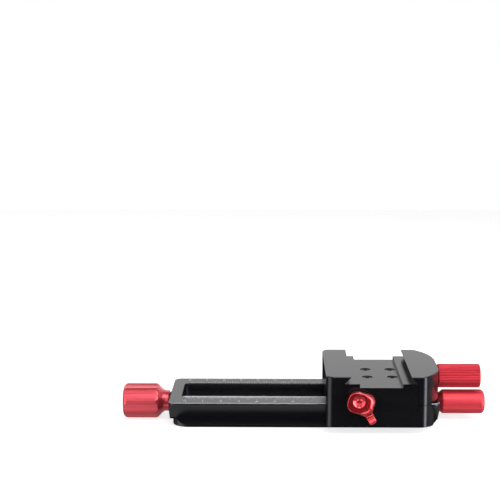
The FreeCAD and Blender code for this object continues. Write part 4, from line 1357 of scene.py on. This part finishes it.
def socket_screws() -> Iterable[SocketScrew]:
    """Give the grub screws.

    Returns:
        The screws of both drive knobs, of the brake shaft and of the lever.
    """
    lever, sunk = BrakeLever(), 1.1
    angle = math.radians(lever.tail_angle)
    outward = Vector((-math.cos(angle), 0.0, math.sin(angle)))
    lever_tip = Vector((lever.x, lever.back - sunk, lever.z)) + outward * 3.0
    across, forward = Vector((0.0, 1.0, 0.0)), Vector((-1.0, 0.0, 0.0))
    return (
        SocketScrew("front_knob_grub", "front_knob_screw", "lead_screw",
                    Vector((-90.4, 2.5, 10.0)), across, radius=1.5, length=5.0, socket=1.5),
        SocketScrew("rear_knob_grub", "rear_knob_screw", "lead_screw",
                    Vector((90.4, 2.5, 10.0)), across, radius=1.5, length=3.8, socket=1.5),
        SocketScrew("shaft_grub", "shaft_retainer", "carriage",
                    Vector((27.25, -29.8, 19.8)), forward, radius=1.25, length=6.0, socket=1.3),
        SocketScrew("lever_grub", "lever_screw", "brake_lever",
                    lever_tip, outward, radius=1.0, length=2.4, socket=0.9),
    )


@dataclass
class RailScale:
    """The millimetre scale on the two strips beside the rail's slot."""

    first: float = -66.0
    numbers: int = 14
    step: float = 10.0
    top: float = 16.0
    marks_from: float = 15.9
    digits_from: float = 22.9
    thickness: float = 0.03
    digit_height: float = 2.7
    digit_share: float = 0.72

    def strip(self, name: str, side: int) -> None:
        """Build one strip's marks.

        Args:
            name: the piece's name.
            side: -1 for the near strip, 1 for the far one.
        """
        tree, marks = ShapeTree(name), []
        whole = (self.numbers - 1) * self.step
        last = tree.size("Length", whole * MM)
        for label, pitch, length, width in (
            ("Ten", 10.0, 5.0, 0.36),
            ("Five", 5.0, 3.8, 0.26),
            ("One", 1.0, 2.4, 0.13),
        ):
            reach = tree.size(f"{label} Length", length * MM)
            across = tree.size(f"{label} Width", width * MM)
            line = tree.add("GeometryNodeMeshLine", "Mesh", {
                "Count": tree.size(f"{label} Count", int(round(whole / pitch)) + 1),
                "Start Location": (0.0, 0.0, 0.0),
                "Offset": tree.vector(last, 0.0, 0.0),
            }, mode="END_POINTS")
            box = {"Size": tree.vector(across, reach, self.thickness * MM)}
            shift = tree.math("MULTIPLY", reach, 0.5 * side)
            mark = tree.add("GeometryNodeTransform", "Geometry", {
                "Geometry": tree.add("GeometryNodeMeshCube", "Mesh", box),
                "Translation": tree.vector(0.0, shift, 0.0),
            })
            copies = {"Points": line, "Instance": mark}
            marks.append(tree.add("GeometryNodeInstanceOnPoints", "Instances", copies))
        place = tree.add("GeometryNodeTransform", "Geometry", {
            "Geometry": tree.add("GeometryNodeJoinGeometry", "Geometry", {"Geometry": marks}),
            "Translation": (self.first * MM, side * self.marks_from * MM, self.top * MM),
        })
        mesh = tree.mesh(place, FINISHES.mark_fill)
        finished_piece(name, mesh, FINISHES.mark_fill, "rail")

    def digits(self, name: str, side: int) -> None:
        """Build one strip's numbers.

        Args:
            name: the piece's name.
            side: -1 for the near strip, 1 for the far one.
        """
        builder = bmesh.new()
        y = side * self.digits_from
        for number in range(self.numbers):
            text = bpy.data.curves.new("digits", "FONT")
            text.body = str(number)
            text.size = self.digit_height * MM / self.digit_share
            text.extrude = self.thickness * MM / 2.0
            text.resolution_u = 3
            text.align_x = "CENTER"
            text.align_y = "CENTER"
            carrier = show(bpy.data.objects.new("digits", text))
            mesh = evaluated(carrier)
            place = ((self.first + self.step * number) * MM, y * MM, self.top * MM)
            mesh.transform(Matrix.Translation(place))
            builder.from_mesh(mesh)
            bpy.data.objects.remove(carrier)
            bpy.data.meshes.remove(mesh)
        mesh = mesh_from(builder, name, 1.0)
        finished_piece(name, mesh, FINISHES.mark_fill, "rail")

    def build(self) -> None:
        """Make the marks and the numbers of both strips."""
        self.strip("scale_near", -1)
        self.strip("scale_far", 1)
        self.digits("numbers_near", -1)
        self.digits("numbers_far", 1)


# Studio


@dataclass
class Studio:
    """Floor, cards, lamps and camera. The cards and lamps are in metres."""

    camera_place: Triple = (-15.0, -693.3, 206.7)
    tilt: float = 8.97
    yaw: float = -1.24
    roll: float = -0.16
    room_light: float = 0.22
    focal_pixels: float = 1250.0
    frame_pixels: float = 500.0
    sensor: float = 36.0

    def cards(self) -> None:
        """Set up the floor and the cards."""
        floor = StudioSurface("studio_floor", StudioRole.FLOOR, 0.77, 0.55).build()
        black = StudioSurface("studio_flag", StudioRole.FLAG, grey=0.03).build()
        white, grey, bright = (
            StudioSurface(f"studio_{name}", StudioRole.GLOW, glow).build()
            for name, glow in (("backdrop", 1.0), ("underlay", 0.35), ("sail", 2.2))
        )
        # both ends of the lower edge, how far the upper edge lies from it, and the material
        for name, left, right, rise, material in (
            ("floor", (-4.0, -4.0, -0.0002), (4.0, -4.0, -0.0002), (0.0, 8.0, 0.0), floor),
            ("backdrop", (-1.6, 0.95, 0.0), (1.6, 0.95, 0.0), (0.0, 0.0, 1.3), white),
            ("front_fill", (-1.6, -1.3, 0.05), (1.6, -1.3, 0.05), (0.0, 0.0, 1.05), white),
            ("front_flag", (-0.22, -0.6, -0.27), (0.24, -0.6, -0.27), (0.0, 0.0, 0.26), black),
            ("rear_flag", (-1.6, 1.3, -0.8), (1.6, 1.3, -0.8), (0.0, 0.0, 0.79), black),
            ("underlay", (-0.8, -0.2, -0.8), (0.8, -0.2, -0.8), (0.0, 1.0, 0.0), grey),
            ("left_sail", (-0.83, -0.75, 0.72), (-0.36, -0.75, 0.72), (0.0, 0.73, 0.0), bright),
            ("right_wing", (0.91, -0.175, -0.45), (0.91, -0.085, -0.45), (0.0, 0.0, 1.2), bright),
        ):
            upper = [tuple(np.add(corner, rise)) for corner in (right, left)]
            mesh = bpy.data.meshes.new(f"studio_{name}")
            mesh.from_pydata([left, right, *upper], [], [(0, 1, 2, 3)])
            mesh.materials.append(material)
            show(bpy.data.objects.new(f"studio_{name}", mesh))

    def lamps(self) -> None:
        """Hang the rectangular softboxes and face them at their aims."""
        middle = (0.0, 0.0, 0.0)
        # middle, aim, width and height, watts
        for name, place, aim, size, power in (
            ("right_softbox", (0.84, -0.45, 0.15), middle, (0.62, 1.3), 14.0),
            ("left_softbox", (-0.84, -0.45, 0.10), middle, (0.90, 1.2), 5.5),
            ("top_softbox", (0.22, -0.42, 0.88), (0.0, 0.0, 0.01), (0.85, 0.45), 6.0),
            ("rear_softbox", (-0.48, 0.80, 0.75), (-0.09, 0.0, 0.0), (0.7, 0.35), 1.6),
            ("low_left_softbox", (-0.34, -0.62, -0.55), (-0.34, 0.0, 0.01), (0.46, 0.28), 1.0),
            ("low_right_softbox", (0.36, -0.62, -0.55), (0.36, 0.0, 0.01), (0.36, 0.28), 0.9),
        ):
            light = bpy.data.lights.new(name, "AREA")
            light.shape = "RECTANGLE"
            light.size, light.size_y = size
            light.energy = power
            holder = show(bpy.data.objects.new(name, light))
            holder.location = place
            direction = Vector(aim) - Vector(place)
            holder.rotation_euler = direction.to_track_quat("-Z", "Y").to_euler()

    def world(self) -> None:
        """Surround the object with an even room light that the camera sees white."""
        world = bpy.data.worlds.new("studio_world")
        world.use_nodes = True
        tree = NodeTree(world.node_tree)
        seen = tree.add("ShaderNodeLightPath", "Is Camera Ray")
        ends = {"Value": seen, "To Min": self.room_light, "To Max": 1.0}
        strength = tree.add("ShaderNodeMapRange", "Result", ends)
        white = {"Color": (1.0, 1.0, 1.0, 1.0), "Strength": strength}
        light = tree.add("ShaderNodeBackground", "Background", white)
        tree.add("ShaderNodeOutputWorld", None, {"Surface": light})
        bpy.context.scene.world = world

    def camera(self) -> None:
        """Stand the camera at its place with its own tilt, yaw and roll."""
        lens = bpy.data.cameras.new("camera")
        lens.sensor_width = self.sensor
        lens.lens = self.sensor * self.focal_pixels / self.frame_pixels
        lens.clip_start, lens.clip_end = 0.01, 50.0
        holder = show(bpy.data.objects.new("camera", lens))
        tilt, yaw, roll = (math.radians(a) for a in (self.tilt, self.yaw, self.roll))
        forward = Vector((
            math.sin(yaw) * math.cos(tilt), math.cos(yaw) * math.cos(tilt), -math.sin(tilt)
        ))
        level = Vector((math.cos(yaw), -math.sin(yaw), 0.0))
        rise = level.cross(forward)
        right = level * math.cos(roll) + rise * math.sin(roll)
        up = rise * math.cos(roll) - level * math.sin(roll)
        turn = Matrix((right, up, -forward)).transposed().to_4x4()
        holder.matrix_world = Matrix.Translation(Vector(self.camera_place) * MM) @ turn
        bpy.context.scene.camera = holder

    def build(self) -> None:
        """Set up the whole studio."""
        self.cards()
        self.world()
        self.lamps()
        self.camera()
        bpy.context.scene.view_settings.view_transform = "Standard"


def main() -> None:
    """Dress the focusing rail and set up the studio."""
    CadDress({
        FINISHES.black_anodised: ("rail_body", "clamp_jaw"),
        FINISHES.bronze: ("bush_front", "bush_rear"),
        FINISHES.brass: ("drive_nut", "brake_shoe"),
        FINISHES.steel: ("clamp_ring", "jaw_pin_near", "jaw_pin_far", "lock_shaft"),
        FINISHES.washer_plastic: ("front_washer", "rear_washer", "clamp_washer"),
        FINISHES.glide_plastic: (
            "top_glide_near", "top_glide_far", "side_glide_near", "side_glide_far"
        ),
        FINISHES.black_steel: tuple(f"nut_screw_{number}" for number in (1, 2, 3, 4)),
    }).dress()
    CarriageBlock().build()
    drive_rod, clamp_rod = threaded_rods()
    drive_rod.build()
    for knob in knobs():
        knob.build()
    BrakeLever().build()
    for screw in socket_screws():
        screw.build()
    clamp_rod.build()
    RailScale().build()
    for thread in tripod_threads():
        thread.build()
    Studio().build()


if __name__ == "__main__":
    main()
